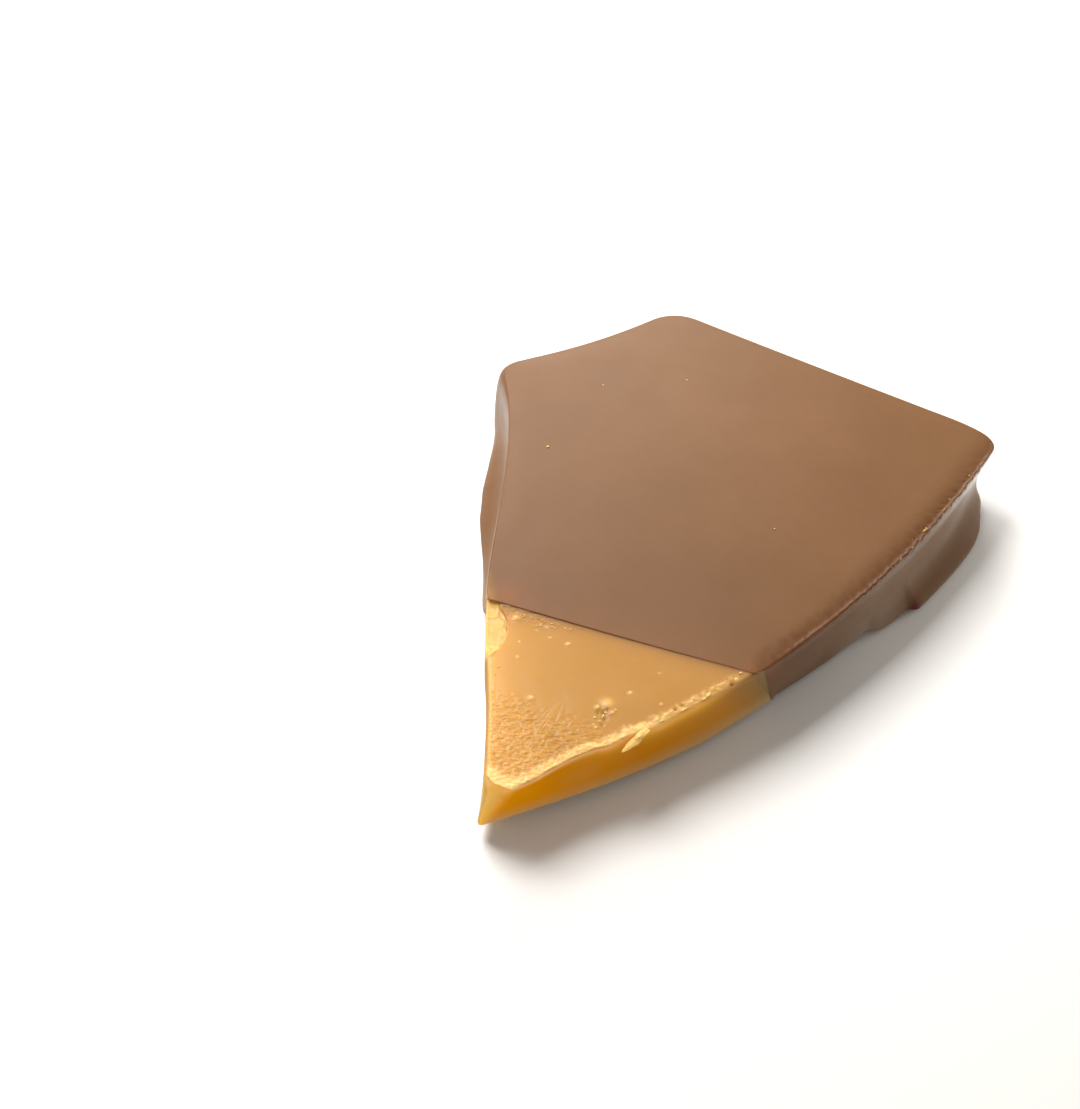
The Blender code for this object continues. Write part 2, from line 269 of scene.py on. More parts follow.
print("lip height 1 mm behind the line:", lip_height(1.0).round(2))

# %% [markdown]
# ## From loops to a mesh
# Both surfaces are lofts: loops of the same number of points, one over another, joined by quads.
# A loop that is cut by the dip plane keeps the run on one side of it and goes home in a straight
# line. Resampling each run by its length keeps the points of neighbouring loops side by side.

# %% Places and grain
def level_points(x, y):
    """Places at height 0, as rows of x, y and z."""
    return np.column_stack([x, y, np.zeros_like(x)])


def line_points(values):
    """Places along a straight line, as rows of x, y and z."""
    return np.column_stack([values, 0 * values, 0 * values])


def grain_at(points, size, octaves=2, seed=0.0):
    """Uneven relief of about -1 to 1 at each point. The size of its bumps is in millimetres."""
    scaled = np.asarray(points, float) / np.asarray(size, float) + seed
    return np.array([noise.fractal(Vector(place), 1.0, 2.0, octaves) for place in scaled])


print("grain at one place:", grain_at([(0.3, 0.2, 0.1)], 1.0).round(2))


# %% Cut and move a loop
def resampled(rows, count, dense):
    """The rows of an open run, read again, with more places along the broken front edge."""
    steps = np.linalg.norm(np.diff(rows[:, :2], axis=0), axis=1)
    weight = 1 + (dense - 1) * (np.mod(rows[1:, 2], len(CORNERS)) < 1)
    walked = np.concatenate([[0], np.cumsum(steps * weight)])
    places = np.linspace(0, walked[-1], count)
    return np.column_stack([np.interp(places, walked, column) for column in rows.T])


def cut_loop(rows, inside, run_count, home_count, dense=1.0):
    """The run where inside is positive, then a straight run back to its start."""
    keep = inside >= 0
    start = np.flatnonzero(keep & ~np.roll(keep, 1))[0]
    rows, inside = np.roll(rows, -start, axis=0), np.roll(inside, -start)
    count = np.flatnonzero(inside < 0)[0]

    def crossing(low, high):
        share = inside[low] / (inside[low] - inside[high])
        return rows[low] * (1 - share) + rows[high] * share

    run = rows[:count]
    station = run[:, 2].copy()
    station[station < station[0] - 1] += len(CORNERS)
    run = np.column_stack([run[:, :2], station])
    first, last = crossing(-1, 0)[:3], crossing(count - 1, count)[:3]
    first[2], last[2] = station[0], station[-1]
    run = resampled(np.vstack([first, run, last]), run_count, dense)
    share = (np.arange(1, home_count + 1) / (home_count + 1))[:, None]
    home = run[-1] * (1 - share) + run[0] * share
    return np.vstack([run, home])


def move_out(rows, distance):
    """Move each row of an outline along its outward normal."""
    rows[:, :2] += rows[:, 3:5] * distance[:, None]


def shrunk(loop, middle, share):
    """The loop's x and y drawn in towards a middle."""
    return middle + (loop[:, :2] - middle) * share


# %% Loft and combine
def loft(name, loops):
    """A closed mesh object through loops of x, y, z in millimetres, from bottom to top."""
    size = len(loops[0])
    points = np.concatenate(loops) * MM
    low = np.arange(size)
    following = (low + 1) % size
    quads = np.concatenate([
        np.column_stack([low, following, following + size, low + size]) + ring * size
        for ring in range(len(loops) - 1)
    ])
    mesh = bpy.data.meshes.new(name)
    caps = [list(low[::-1]), list(low + (len(loops) - 1) * size)]
    mesh.from_pydata(points.tolist(), [], quads.tolist() + caps)
    made = bpy.data.objects.new(name, mesh)
    scene.collection.objects.link(made)
    return made


def combine(target, other, operation):
    """One Boolean, applied at once, after which the other object is removed."""
    modifier = target.modifiers.new(operation.title(), "BOOLEAN")
    modifier.object = other
    modifier.operation = operation
    modifier.solver = "MANIFOLD"
    bpy.context.view_layer.update()
    graph = bpy.context.evaluated_depsgraph_get()
    mesh = bpy.data.meshes.new_from_object(target.evaluated_get(graph))
    target.modifiers.clear()
    target.data = mesh
    bpy.data.objects.remove(other, do_unlink=True)
    return target


# %% [markdown]
# ## The toffee's bare corner
# The top of the corner droops to the point and its underside rises to it. The side is a clean
# fracture, slightly bowed, and the point itself is broken off along a small steep facet. Behind
# the dip line the surface sinks a little, so that the chocolate's thin edge lies over it.

# %% Shape of the bare corner
POINT = np.array(CORNERS[0][:2])
POINT_REACH = 26.0
POINT_DROOP = 0.7
POINT_RISE = 0.7
POINT_UNDERCUT = np.array((-0.35, 1.3))
POINT_REACHES_OUT, POINT_REACHES_OVER = np.array((-0.36, -0.42)), 4.0
POINT_OUTWARDS = np.array((-0.563, -0.827, 0.0))
POINT_FACET = ((-28.9, -32.4, 8.4), (-26.3, -33.4, 8.4), (-29.9, -34.6, 1.9))
POINT_TRIM, POINT_TRIM_REACH = 0.55, 1.6  # near the point the side's bulge is trimmed
FACET_CORNER = -6.1  # place along the facet's top where a corner broke further back
FACET_CORNER_CUT, FACET_CORNER_WIDTH, FACET_RAGGED = 0.5, 0.75, 0.10
SUNK_UNDER_COAT = 0.12  # the top lies this much lower under the coat
INSET_UNDER_COAT = 0.8
RIGHT_RISE, RIGHT_RISE_REACH = 0.30, 8.0  # the slab is a little thicker at the dip's right end
BARE_LEVELS = (  # share of the height, offset from the outline
    (0.0, -0.42), (0.006, -0.26), (0.02, -0.12), (0.045, -0.02), (0.08, 0.03), (0.2, 0.06),
    (0.5, 0.09), (0.8, 0.09), (0.90, 0.07), (0.94, 0.03), (0.965, -0.03), (0.985, -0.12),
    (1.0, -0.26),
)
LEFT_HOLLOW = ((0.0, 0.0), (5.27, 0.0), (5.42, 0.25), (5.6, 0.36), (5.8, 0.30), (5.93, 0.18),
               (6.0, 0.0))
FRONT_SLOPE = (  # station, how far the broken side leans back at its top
    (0.0, 0.0), (0.045, 0.2), (0.07, 0.35), (0.10, 0.72), (0.135, 0.92), (0.155, 0.85),
    (0.175, 0.55), (0.20, 0.62), (0.215, 0.55), (0.25, 0.25), (0.28, 0.28), (0.31, 0.22),
    (0.35, 0.10), (0.40, 0.0), (6.0, 0.0),
)
STUB = 2.4  # how far the fine mesh runs on under the coat
BARE_RUN, BARE_HOME = 620, 90  # points along the outline, and on the straight way home
BARE_DENSITY = 1.6
print("levels in the table:", len(BARE_LEVELS))

# %% [markdown]
# ### How thick it is
# The droop and the rise both grow towards the point, so one measure of nearness drives the two.

# %% Top and underside
def nearness(x, y):
    """1 at the bare point, falling to 0 where the slab has its full thickness."""
    return np.clip(1 - np.hypot(x - POINT[0], y - POINT[1]) / POINT_REACH, 0, 1)


def rise_at_right(x, y):
    away = np.hypot(x - DIP_RIGHT[0], y - DIP_RIGHT[1])
    return RIGHT_RISE * soft_spot(away, RIGHT_RISE_REACH)


def slab_top(x, y):
    return SLAB_TOP - POINT_DROOP * nearness(x, y) ** 1.5 + rise_at_right(x, y)


def slab_bottom(x, y):
    return SLAB_BOTTOM + POINT_RISE * nearness(x, y) ** 1.5


print("thickness at the point:", round(float(slab_top(*POINT) - slab_bottom(*POINT)), 1), "mm")

# %% [markdown]
# ### The broken point
# The facet at the point is a plane through three measured places, made a little ragged at its top.

# %% Facet at the point
def beyond_facet(points):
    """How far points lie beyond the plane of the broken point, and the way out of it."""
    facet = np.array(POINT_FACET)
    outwards = np.cross(facet[2] - facet[0], facet[1] - facet[0])
    outwards /= np.linalg.norm(outwards)
    along = points[:, :2] @ (-POINT_OUTWARDS[1], POINT_OUTWARDS[0])
    corner = FACET_CORNER_CUT * soft_spot(along - FACET_CORNER, FACET_CORNER_WIDTH)
    ragged = FACET_RAGGED * grain_at(line_points(along), 0.9, 2, 3.3)
    broken_back = (corner + ragged) * ease(points[:, 2], 7.2, 8.3)
    return (points - facet[0]) @ outwards + broken_back, outwards


# %% Loops of the corner
def under_coat(behind):
    return ease(behind, 0.0, 0.9)


def bare_loop(share, offset):
    """The bare corner's loop at a share of its height."""
    rows = BARE_OUTLINE.copy()
    height = SLAB_BOTTOM + (SLAB_TOP - SLAB_BOTTOM) * share
    cover = under_coat(behind_dip(rows[:, 0], rows[:, 1], height))
    lean = at_station(LEFT_HOLLOW, rows[:, 2])
    lean = lean + at_station(FRONT_SLOPE, rows[:, 2]) * ease(share, 0.1, 1.0)
    from_point = np.hypot(rows[:, 0] - POINT[0], rows[:, 1] - POINT[1])
    trimmed = 1 - POINT_TRIM * soft_spot(from_point, POINT_TRIM_REACH)
    move_out(rows, (offset - lean) * trimmed * (1 - cover) - INSET_UNDER_COAT * cover)
    inside = STUB - behind_dip(rows[:, 0], rows[:, 1], height)
    loop = cut_loop(rows, inside, BARE_RUN, BARE_HOME, dense=BARE_DENSITY)
    x, y = loop[:, 0], loop[:, 1]
    low, high = slab_bottom(x, y), slab_top(x, y)
    near = nearness(x, y)[:, None] * (1 - share)
    at_point = np.exp(-np.hypot(x - POINT[0], y - POINT[1]) / POINT_REACHES_OVER)[:, None]
    loop[:, :2] += near * (POINT_UNDERCUT + at_point * POINT_REACHES_OUT)
    return np.column_stack([loop[:, :2], low + (high - low) * share])


level_shares = np.unique(np.concatenate([
    np.linspace(0, 0.8, 14), np.linspace(0.82, 1, 12), [share for share, _ in BARE_LEVELS],
]).round(3))
bare_sides = [
    bare_loop(share, float(at_station(BARE_LEVELS, np.array([share]))[0]))
    for share in level_shares
]
print("bare corner:", len(bare_sides), "levels of", len(bare_sides[0]), "points")

# %% [markdown]
# ### Its top
# The top is drawn in ring by ring. Its relief is real geometry: a sugary grain that starts
# half way to the point, a rough bright rim, small bubbles, and wrinkles where the wet chocolate
# pulled at the surface. Each is a function of the place, so every ring can ask for it. The cells
# that follow make them one by one, and the last one adds them up.

# %% Distances on the top
EDGE_END = 0.44  # the station where the coat covers the front edge
LEFT_EDGE = np.array(((-29.35, -12.0), (-29.3, -33.4)))


def to_segment(x, y, start, end):
    """How far each place is from a straight segment."""
    start, end = np.array(start), np.array(end)
    along = end - start
    share = ((x - start[0]) * along[0] + (y - start[1]) * along[1]) / (along @ along)
    share = np.clip(share, 0, 1)
    return np.hypot(x - start[0] - along[0] * share, y - start[1] - along[1] * share)


def to_path(x, y, corners):
    """How far each place is from an open path."""
    return np.min([to_segment(x, y, a, b) for a, b in zip(corners, corners[1:])], axis=0)


def along_front(x, y):
    """How far each place is from the front edge, and the station it is nearest to."""
    stations = np.linspace(0.0, EDGE_END, 180)
    edge = edge_points(0, stations)
    away = np.hypot(x[:, None] - edge[:, 0], y[:, None] - edge[:, 1])
    nearest = np.argmin(away, axis=1)
    found = stations[nearest]
    return away[np.arange(len(x)), nearest] - at_station(FRONT_SLOPE, found), found


print("bare front edge:", round(EDGE_END * edge_length(0), 1), "mm")

# %% [markdown]
# #### The scar
# A thin flake broke off the left edge and took some of the top with it. Its outline is a ragged
# polygon, and inside it the surface drops to a shallow scoop. Taking the lower of the two heights
# cuts the scoop with a crisp edge, as a break has.

# %% Scar of the lost flake
SCAR_CORNERS = np.array((
    (-30.5, -9.6), (-28.1, -10.4), (-27.9, -11.4), (-27.45, -12.2), (-27.1, -13.2), (-27.3, -13.9),
    (-27.15, -14.7), (-27.4, -15.4), (-27.75, -16.1), (-27.9, -16.7), (-28.35, -17.1),
    (-28.7, -17.65), (-29.5, -17.7), (-30.5, -17.7),
))
SCAR_MIDDLE = (-29.6, -13.6)
SCAR_HEIGHT = 8.28
SCAR_SLOPE = 0.20
SCAR_GRAIN = 0.09


def inside_polygon(x, y, corners):
    """Which places lie inside a closed polygon."""
    found = np.zeros(np.shape(x), bool)
    for (x0, y0), (x1, y1) in zip(corners, np.roll(corners, -1, axis=0)):
        crosses = (y0 > y) != (y1 > y)
        rise = np.where(y1 == y0, 1.0, y1 - y0)
        found ^= crosses & (x < (x1 - x0) * (y - y0) / rise + x0)
    return found


def scar_floor(x, y):
    """The height of the scar's floor, a shallow scoop."""
    scoop = 0.5 * ease(np.abs(y - SCAR_MIDDLE[1]), 1.2, 4.3) ** 2
    return (SCAR_HEIGHT + SCAR_SLOPE * (x - SCAR_MIDDLE[0]) + scoop
            + SCAR_GRAIN * grain_at(level_points(x, y), 1.5, 3, 9.0))


print("scar:", len(SCAR_CORNERS), "corners, floor at", SCAR_HEIGHT, "mm")

# %% [markdown]
# #### The rim of the broken side
# Where the shard broke, the edge of its top crumbled. It stands up in a rough crest, and near the
# point a smooth narrow ledge runs between the crest and the broken side, with a fine groove.

# %% Front rim
RIM_HEIGHT = (  # station on the front edge, how far its rim stands up
    (0.0, 0.02), (0.10, 0.05), (0.20, 0.07), (0.26, 0.09), (0.30, 0.09), (0.345, 0.10),
    (0.37, 0.07), (0.40, 0.03), (EDGE_END, 0.0),
)
CREST_INSET, CREST_WIDTH = 0.75, 0.42
GROOVE_DEPTH, GROOVE_WIDTH = 0.05, 0.09
LEDGE_FADE = (0.215, 0.19)  # the ledge ends between these stations


def ledge_width(flat):
    """The width of the smooth ledge between the rough top and the broken side."""
    return 0.23 + 0.06 * grain_at(flat, 1.2, 2, 6.6)


def front_rim(x, y):
    """The rough rim of the front edge: a crest, and a groove close to the edge."""
    flat = level_points(x, y)
    away, station = along_front(x, y)
    rough = grain_at(flat, 0.55, 3, 1.9)
    crest = soft_spot(away - CREST_INSET, CREST_WIDTH)
    height = at_station(RIM_HEIGHT, station) * crest * (0.9 + 1.1 * rough)
    groove = soft_spot(away - ledge_width(flat), GROOVE_WIDTH) * ease(station, *LEDGE_FADE)
    return height - GROOVE_DEPTH * groove


print("highest rim:", max(height for _, height in RIM_HEIGHT), "mm")

# %% [markdown]
# #### Sugar and wrinkles
# Towards the point the sugar crystallised and left a grain. At the other end, by the left end of
# the dip line, the wet chocolate pulled at the surface and left a few fine arcs.

# %% Sugar and wrinkles
GRAIN_START = np.array((-25.7, -23.2))  # the sugary grain begins along the line between these
GRAIN_END = np.array((-17.0, -26.6))
ARC_MIDDLE = (-26.3, -12.6)
ARC_SPACING = 0.52
ARC_HEIGHT = 0.055
PULL_HEIGHT = 0.13


def sugar_at(x, y):
    """1 where the top is grainy, 0 where it set smooth."""
    along = GRAIN_END - GRAIN_START
    ahead = np.array((along[1], -along[0])) / np.linalg.norm(along)
    past = (x - GRAIN_START[0]) * ahead[0] + (y - GRAIN_START[1]) * ahead[1]
    return ease(past, -2.2, 2.4)


def meniscus(x, y, behind):
    """Wrinkles where the chocolate pulled at the surface, near the left end of the dip line."""
    ahead = np.clip(-behind, 0, None)
    away = np.hypot(x - ARC_MIDDLE[0], (y - ARC_MIDDLE[1]) * 1.5)
    arcs = np.sin(away * 2 * math.pi / ARC_SPACING) * np.exp(-away / 1.3) * ease(away, 0.3, 0.7)
    pull = soft_spot(ahead, 0.8) * np.exp(-np.clip(x + 27.0, 0, None) / 3.5)
    pull = pull * ease(x, -28.6, -27.4)
    uneven = grain_at(level_points(x, y), (0.7, 0.35, 1), 2)
    return ARC_HEIGHT * arcs * ease(ahead, -0.1, 0.3) + pull * PULL_HEIGHT * uneven


print("grain begins", round(float(np.linalg.norm(POINT - GRAIN_START)), 1), "mm from the point")

# %% [markdown]
# #### Bubbles, pits and cracks
# Small marks are listed one by one. Each is a soft round bump or dent, and a crack is a narrow
# groove along a path. The edges of the scar are paths too, which only the colour uses.

# %% Bubbles, pits and cracks
BUBBLES = (  # x, y, radius, height
    (-23.6, -13.5, 0.13, 0.05), (-22.9, -13.9, 0.18, 0.06), (-24.0, -14.3, 0.10, 0.05),
    (-22.6, -15.2, 0.13, 0.05), (-20.7, -16.05, 0.20, 0.12), (-24.6, -22.8, 0.26, 0.14),
    (-25.8, -15.8, 0.12, 0.05), (-26.0, -17.7, 0.16, 0.05), (-14.4, -22.15, 0.22, 0.10),
    (-11.3, -19.7, 0.14, 0.06), (-11.3, -23.5, 0.15, 0.06), (-26.2, -12.75, 0.42, 0.16),
    (-16.8, -23.4, 0.60, 0.10), (-17.8, -23.85, 0.22, 0.14), (-16.3, -24.5, 0.18, 0.12),
    (-16.0, -24.2, 0.12, 0.10), (-18.1, -25.05, 0.12, 0.08), (-18.05, -26.25, 0.15, 0.10),
    (-18.25, -25.9, 0.11, 0.07), (-17.6, -25.5, 0.10, 0.08),
)
PITS = (  # x, y, radius, depth
    (-3.85, -21.25, 0.26, 0.40), (-17.2, -24.55, 0.30, 0.09), (-17.1, -25.25, 0.26, 0.08),
    (-17.4, -26.0, 0.24, 0.06), (-16.8, -24.15, 0.20, 0.07), (-17.8, -24.5, 0.22, 0.06),
    (-27.4, -30.5, 0.22, 0.05), (-25.7, -31.2, 0.25, 0.06), (-24.0, -31.0, 0.18, 0.05),
    (-28.2, -29.4, 0.18, 0.05), (-22.3, -27.4, 0.40, 0.05), (-26.6, -29.6, 0.18, 0.04),
    (-9.9, -24.2, 0.22, 0.16), (-9.2, -23.7, 0.20, 0.14),
)
CRACKS = (
    ((-28.05, -10.6), (-28.0, -11.4), (-28.1, -12.35)),
    ((-29.2, -12.45), (-28.6, -12.55), (-28.1, -12.35)),
    ((-27.95, -11.9), (-27.9, -12.5), (-27.4, -13.0), (-27.5, -13.7)),
)
SCAR_EDGES = (
    ((-27.9, -11.4), (-27.45, -12.2), (-27.1, -13.2), (-27.3, -13.9), (-27.2, -14.3)),
    ((-27.75, -16.1), (-27.9, -16.7), (-28.35, -17.1), (-28.7, -17.65), (-29.0, -17.7)),
)
CRACK_DEPTH, CRACK_WIDTH = 0.10, 0.09
print("bubbles:", len(BUBBLES), "pits:", len(PITS), "cracks:", len(CRACKS))

# %% The relief added up
def top_relief(x, y):
    """The height of the relief over the smooth top."""
    flat = level_points(x, y)
    sugar = sugar_at(x, y)
    behind = behind_dip(x, y, SLAB_TOP)
    height = 0.05 * grain_at(flat, 5.0, 2, 3.1) * ease(-behind, -0.2, 1.5)
    height += 0.050 * sugar * grain_at(flat, (0.52, 0.34, 1.0), 2, 7.3)
    height += front_rim(x, y) + meniscus(x, y, behind)
    left = soft_spot(to_path(x, y, LEFT_EDGE) - 0.5, 0.4) * sugar
    height += left * (0.02 + 0.03 * grain_at(flat, 0.42, 2, 1.9))
    for bx, by, radius, rise in BUBBLES:
        height += rise * soft_spot(np.hypot(x - bx, y - by), radius)
    for px, py, radius, depth in PITS:
        height -= depth * soft_spot(np.hypot(x - px, y - py), radius)
    for crack in CRACKS:
        height -= CRACK_DEPTH * soft_spot(to_path(x, y, crack), CRACK_WIDTH)
    inside_facet = -beyond_facet(np.column_stack([x, y, slab_top(x, y)]))[0]
    return height * (1 - under_coat(behind)) * ease(inside_facet, 0.0, 0.5)


def bare_top(x, y):
    """The top's full height, with the scar of the lost flake."""
    sunk = SUNK_UNDER_COAT * under_coat(behind_dip(x, y, SLAB_TOP))
    height = slab_top(x, y) + top_relief(x, y) - sunk
    scar = inside_polygon(x, y, SCAR_CORNERS)
    return np.where(scar, np.minimum(height, scar_floor(x, y)), height)


print("relief near the middle:", top_relief(np.array([-20.0]), np.array([-20.0])).round(3), "mm")

# %% [markdown]
# #### Rings of the top and the underside
# The rings lie close together near the edge, where the relief is finest, and wider towards the
# middle. The scar also cuts into the highest loops of the side, so these are lowered first.

# %% Rings
BARE_MIDDLE = np.array((-20.6, -21.4))
RING_SHARES = 1 - np.concatenate([
    np.linspace(0.008, 0.15, 18), np.linspace(0.159, 0.62, 54), np.linspace(0.66, 0.97, 7)
])
UNDER_SHARES = (0.1, 0.3, 0.55, 0.8, 0.93)
RIM_DROP = 0.03  # the outermost loop lies a little lower, which rounds the edge

for loop in bare_sides:
    scar = inside_polygon(loop[:, 0], loop[:, 1], SCAR_CORNERS)
    share = (loop[:, 2] - SLAB_BOTTOM) / (SLAB_TOP - SLAB_BOTTOM)
    cut = np.minimum(loop[:, 2], scar_floor(loop[:, 0], loop[:, 1]) - 0.2 * (1 - share))
    loop[:, 2] = np.where(scar, cut, loop[:, 2])
rim_loop = bare_sides[-1]
bare_rings = []
for share in RING_SHARES:
    flat = shrunk(rim_loop, BARE_MIDDLE, share)
    bare_rings.append(np.column_stack([flat, bare_top(flat[:, 0], flat[:, 1])]))
rim_loop[:, 2] = bare_top(rim_loop[:, 0], rim_loop[:, 1]) - RIM_DROP

bare_under = []
for share in UNDER_SHARES:
    flat = shrunk(bare_sides[0], BARE_MIDDLE, share)
    bare_under.append(np.column_stack([flat, slab_bottom(flat[:, 0], flat[:, 1])]))
print("rings on top:", len(bare_rings))

# %% [markdown]
# ### Its broken point, and the slab under the coat
# A point beyond the facet's plane is pressed back onto it, which keeps the mesh closed. The rest
# of the slab is hidden, so a plain loft does, joined to the corner by a Boolean union.

# %% Join the toffee
CORE_INSET = (
    (0.0, 0.4), (0.36, 0.4), (0.48, 0.75), (0.85, 0.85), (0.94, 1.5), (1.0, 2.5), (1.1, 2.0),
    (1.3, 1.2), (1.6, 0.9), (3.0, 0.9), (4.2, 1.0), (4.8, 0.75), (5.0, 0.5), (5.1, 0.4),
    (6.0, 0.4),
)
CORE_ROUNDINGS = {0: COVERED_POINT, 1: (5.0, 7.0)}
CORE_OVERLAP = 0.8  # how far the corner's stub and the slab run into each other


def pressed_to_facet(points):
    """Points beyond the broken point's plane, brought back to it. Lower down it rounds off."""
    beyond, outwards = beyond_facet(points)
    round_off = 0.11 + 0.50 * ease(8.3 - points[:, 2], 0.0, 1.5)
    pressed = round_off * np.log1p(np.exp(np.clip(beyond / round_off, -30, 30)))
    return points - pressed[:, None] * POINT_OUTWARDS / (outwards @ POINT_OUTWARDS)


def core(name, grown, ahead):
    """The slab under the coat, up to a distance ahead of the dip plane."""
    bottom, top = SLAB_BOTTOM - grown, SLAB_TOP - SUNK_UNDER_COAT + grown
    loops = []
    for height, offset in ((bottom, -0.5), (bottom + 0.5, 0.0), (top - 0.5, 0.0), (top, -0.5)):
        rows = outline(CORE_ROUNDINGS)[::6]
        move_out(rows, grown + offset - at_station(CORE_INSET, rows[:, 2]))
        inside = behind_dip(rows[:, 0], rows[:, 1], height) + ahead
        loop = cut_loop(rows, inside, 150, 20)
        loops.append(np.column_stack([loop[:, :2], np.full(len(loop), height)]))
    return loft(name, loops)


bare_loops = bare_under + bare_sides + bare_rings
toffee = loft("bare_toffee", [pressed_to_facet(loop) for loop in bare_loops])
combine(toffee, core("core", 0.0, -(STUB - CORE_OVERLAP)), "UNION")
print("toffee:", len(toffee.data.polygons), "faces")

# %% [markdown]
# ## The chocolate coat
# While it set, the chocolate ran down the sides and spread into a foot on the tray. The sides are
# hollow between the top edge and the foot, and most of all under the right corner. The tables say
# how far the foot spreads and how deep the hollow is at each station.

# %% Shape of the coat
FOOT = (  # station, how far the foot spreads
    (0.0, 0.0), (0.36, -0.35), (0.45, -0.35), (0.52, -0.1), (0.58, 0.2), (0.645, 0.4),
    (0.66, 1.25), (0.68, 1.65), (0.715, 1.85), (0.722, 2.0), (0.732, 2.75), (0.78, 2.9),
    (0.85, 3.05), (0.88, 3.0), (0.916, 2.5), (0.937, 1.85), (0.959, 1.1), (1.0, 0.0), (1.1, 0.1),
    (1.3, 0.9), (1.5, 1.6), (1.8, 1.1), (2.0, 1.0), (2.5, 1.6), (3.0, 0.9), (3.2, 1.0),
    (3.75, 2.3), (4.0, 2.85), (4.12, 3.1), (4.29, 3.05), (4.43, 2.55), (4.58, 1.85), (4.71, 1.4),
    (4.82, 1.15), (4.95, 0.5), (5.0, 0.35), (5.2, 0.0), (6.0, 0.0),
)
WAIST = (  # station, how deep the side is hollowed
    (0.0, 0.0), (0.7, 0.1), (0.85, 0.4), (0.93, 0.8), (1.0, 0.9), (1.06, 0.6), (1.25, 0.3),
    (1.6, 0.1), (2.9, -0.5), (3.05, -0.7), (3.3, -0.3), (4.0, 0.3), (4.4, 0.3), (4.8, 0.0),
    (6.0, 0.0),
)
COAT_LEVELS = np.array((  # height, offset, share of the foot, share of the waist
    (0.00, -0.70, 0.82, 0.00), (0.25, -0.28, 0.96, 0.00), (0.75, -0.05, 1.00, 0.00),
    (1.50, 0.05, 0.80, 0.28), (2.40, 0.10, 0.50, 0.68), (3.60, 0.15, 0.22, 0.96),
    (5.20, 0.20, 0.05, 1.00), (7.00, 0.25, 0.00, 0.78), (8.40, 0.25, 0.00, 0.42),
    (9.20, 0.12, 0.00, 0.22), (9.65, -0.22, 0.00, 0.00), (9.86, -0.75, 0.00, 0.00),
))
# The top edge is crisp along the front and softer elsewhere.
EDGE_SOFTNESS = (
    (0.0, 0.4), (0.5, 0.32), (0.9, 0.32), (1.0, 0.4), (1.1, 0.6), (2.0, 0.7), (2.2, 0.5),
    (2.8, 0.4), (3.0, 0.6), (3.4, 0.45), (4.0, 0.30), (5.0, 0.30), (6.0, 0.4),
)
CRISP_EDGE = 0.16  # the offset that the top edge is drawn towards where it is crisp
COAT_OVER_TOFFEE = 0.03  # how far the coat's skin stands off the toffee's at the lip
LEVEL_STEPS = 4
COAT_RUN, COAT_HOME = 620, 120
COAT_DENSITY = 3.0
TEAR_REACH = 0.20
print("widest foot:", max(spread for _, spread in FOOT), "mm")

# %% [markdown]
# ### Levels and the lip
# Twelve levels are given. A smooth curve through them gives the many that the mesh needs.
# Near the dip plane each level is drawn to the toffee's own face, which makes the thin lip.

# %% Levels and lip
def smooth_levels(levels, steps):
    """More levels on a smooth curve through the given ones."""
    padded = np.vstack([2 * levels[0] - levels[1], levels, 2 * levels[-1] - levels[-2]])
    found = []
    for a, b, c, d in zip(padded, padded[1:], padded[2:], padded[3:]):
        for share in np.arange(steps) / steps:
            found.append(0.5 * (2 * b + (c - a) * share + (2 * a - 5 * b + 4 * c - d) * share**2
                                + (3 * b - a - 3 * c + d) * share**3))
    return np.array(found + [levels[-1]])


def tapered(height, x, y):
    """The height of a coat's place, drawn to the toffee's face near the dip plane."""
    lip = lip_height(behind_dip(x, y, height))
    face = SLAB_TOP + rise_at_right(x, y)
    return np.where(height > SLAB_TOP, face + (height - face) * lip,
                    np.where(height < SLAB_BOTTOM, SLAB_BOTTOM - (SLAB_BOTTOM - height) * lip,
                             height))


def set_back(height):
    """How far behind the dip plane a level's run home lies."""
    over = max(height - SLAB_TOP, SLAB_BOTTOM - height, 0.0)
    return 0.5 * over * over


print("levels of the coat:", len(smooth_levels(COAT_LEVELS, LEVEL_STEPS)))


# %% Loops of the coat
def torn_at(stations):
    """How far the torn top edge wanders in and out along the front."""
    torn = ease(stations, 0.50, 0.66) * ease(stations, 0.95, 0.90)
    return TEAR_REACH * torn * grain_at(line_points(stations * 90), 0.9, 4, 2.2)


def coat_loop(height, base, foot, waist):
    """The coat's loop at one level."""
    rows = COAT_OUTLINE.copy()
    stations = rows[:, 2]
    soft = at_station(EDGE_SOFTNESS, stations)
    base = np.where(height > 9.0, CRISP_EDGE + (base - CRISP_EDGE) * soft, base)
    moved = base + foot * at_station(FOOT, stations) - waist * at_station(WAIST, stations)
    cover = under_coat(behind_dip(rows[:, 0], rows[:, 1], height))
    level = np.clip((height - SLAB_BOTTOM) / (SLAB_TOP - SLAB_BOTTOM), 0, 1)
    bare = at_station(BARE_LEVELS, level) + COAT_OVER_TOFFEE
    moved = bare * (1 - cover) + moved * cover
    move_out(rows, moved + torn_at(stations) * ease(height, 9.0, 9.7))
    inside = behind_dip(rows[:, 0], rows[:, 1], height) - set_back(height)
    loop = cut_loop(rows, inside, COAT_RUN, COAT_HOME, dense=COAT_DENSITY)
    return np.column_stack([loop[:, :2], tapered(height, loop[:, 0], loop[:, 1])]), loop[:, 2]


coat_sides = []
for level in smooth_levels(COAT_LEVELS, LEVEL_STEPS):
    loop, coat_stations = coat_loop(*level)
    coat_sides.append(loop)
print("coat:", len(coat_sides), "levels of", len(coat_sides[0]), "points")

# %% [markdown]
# ### The coat's top edge and its top
# Along the front the coat's edge stands up in a thin ragged bead, where the chocolate tore, with
# a shallow groove behind it. The top is nearly flat, with a soft swell that only its sheen shows.

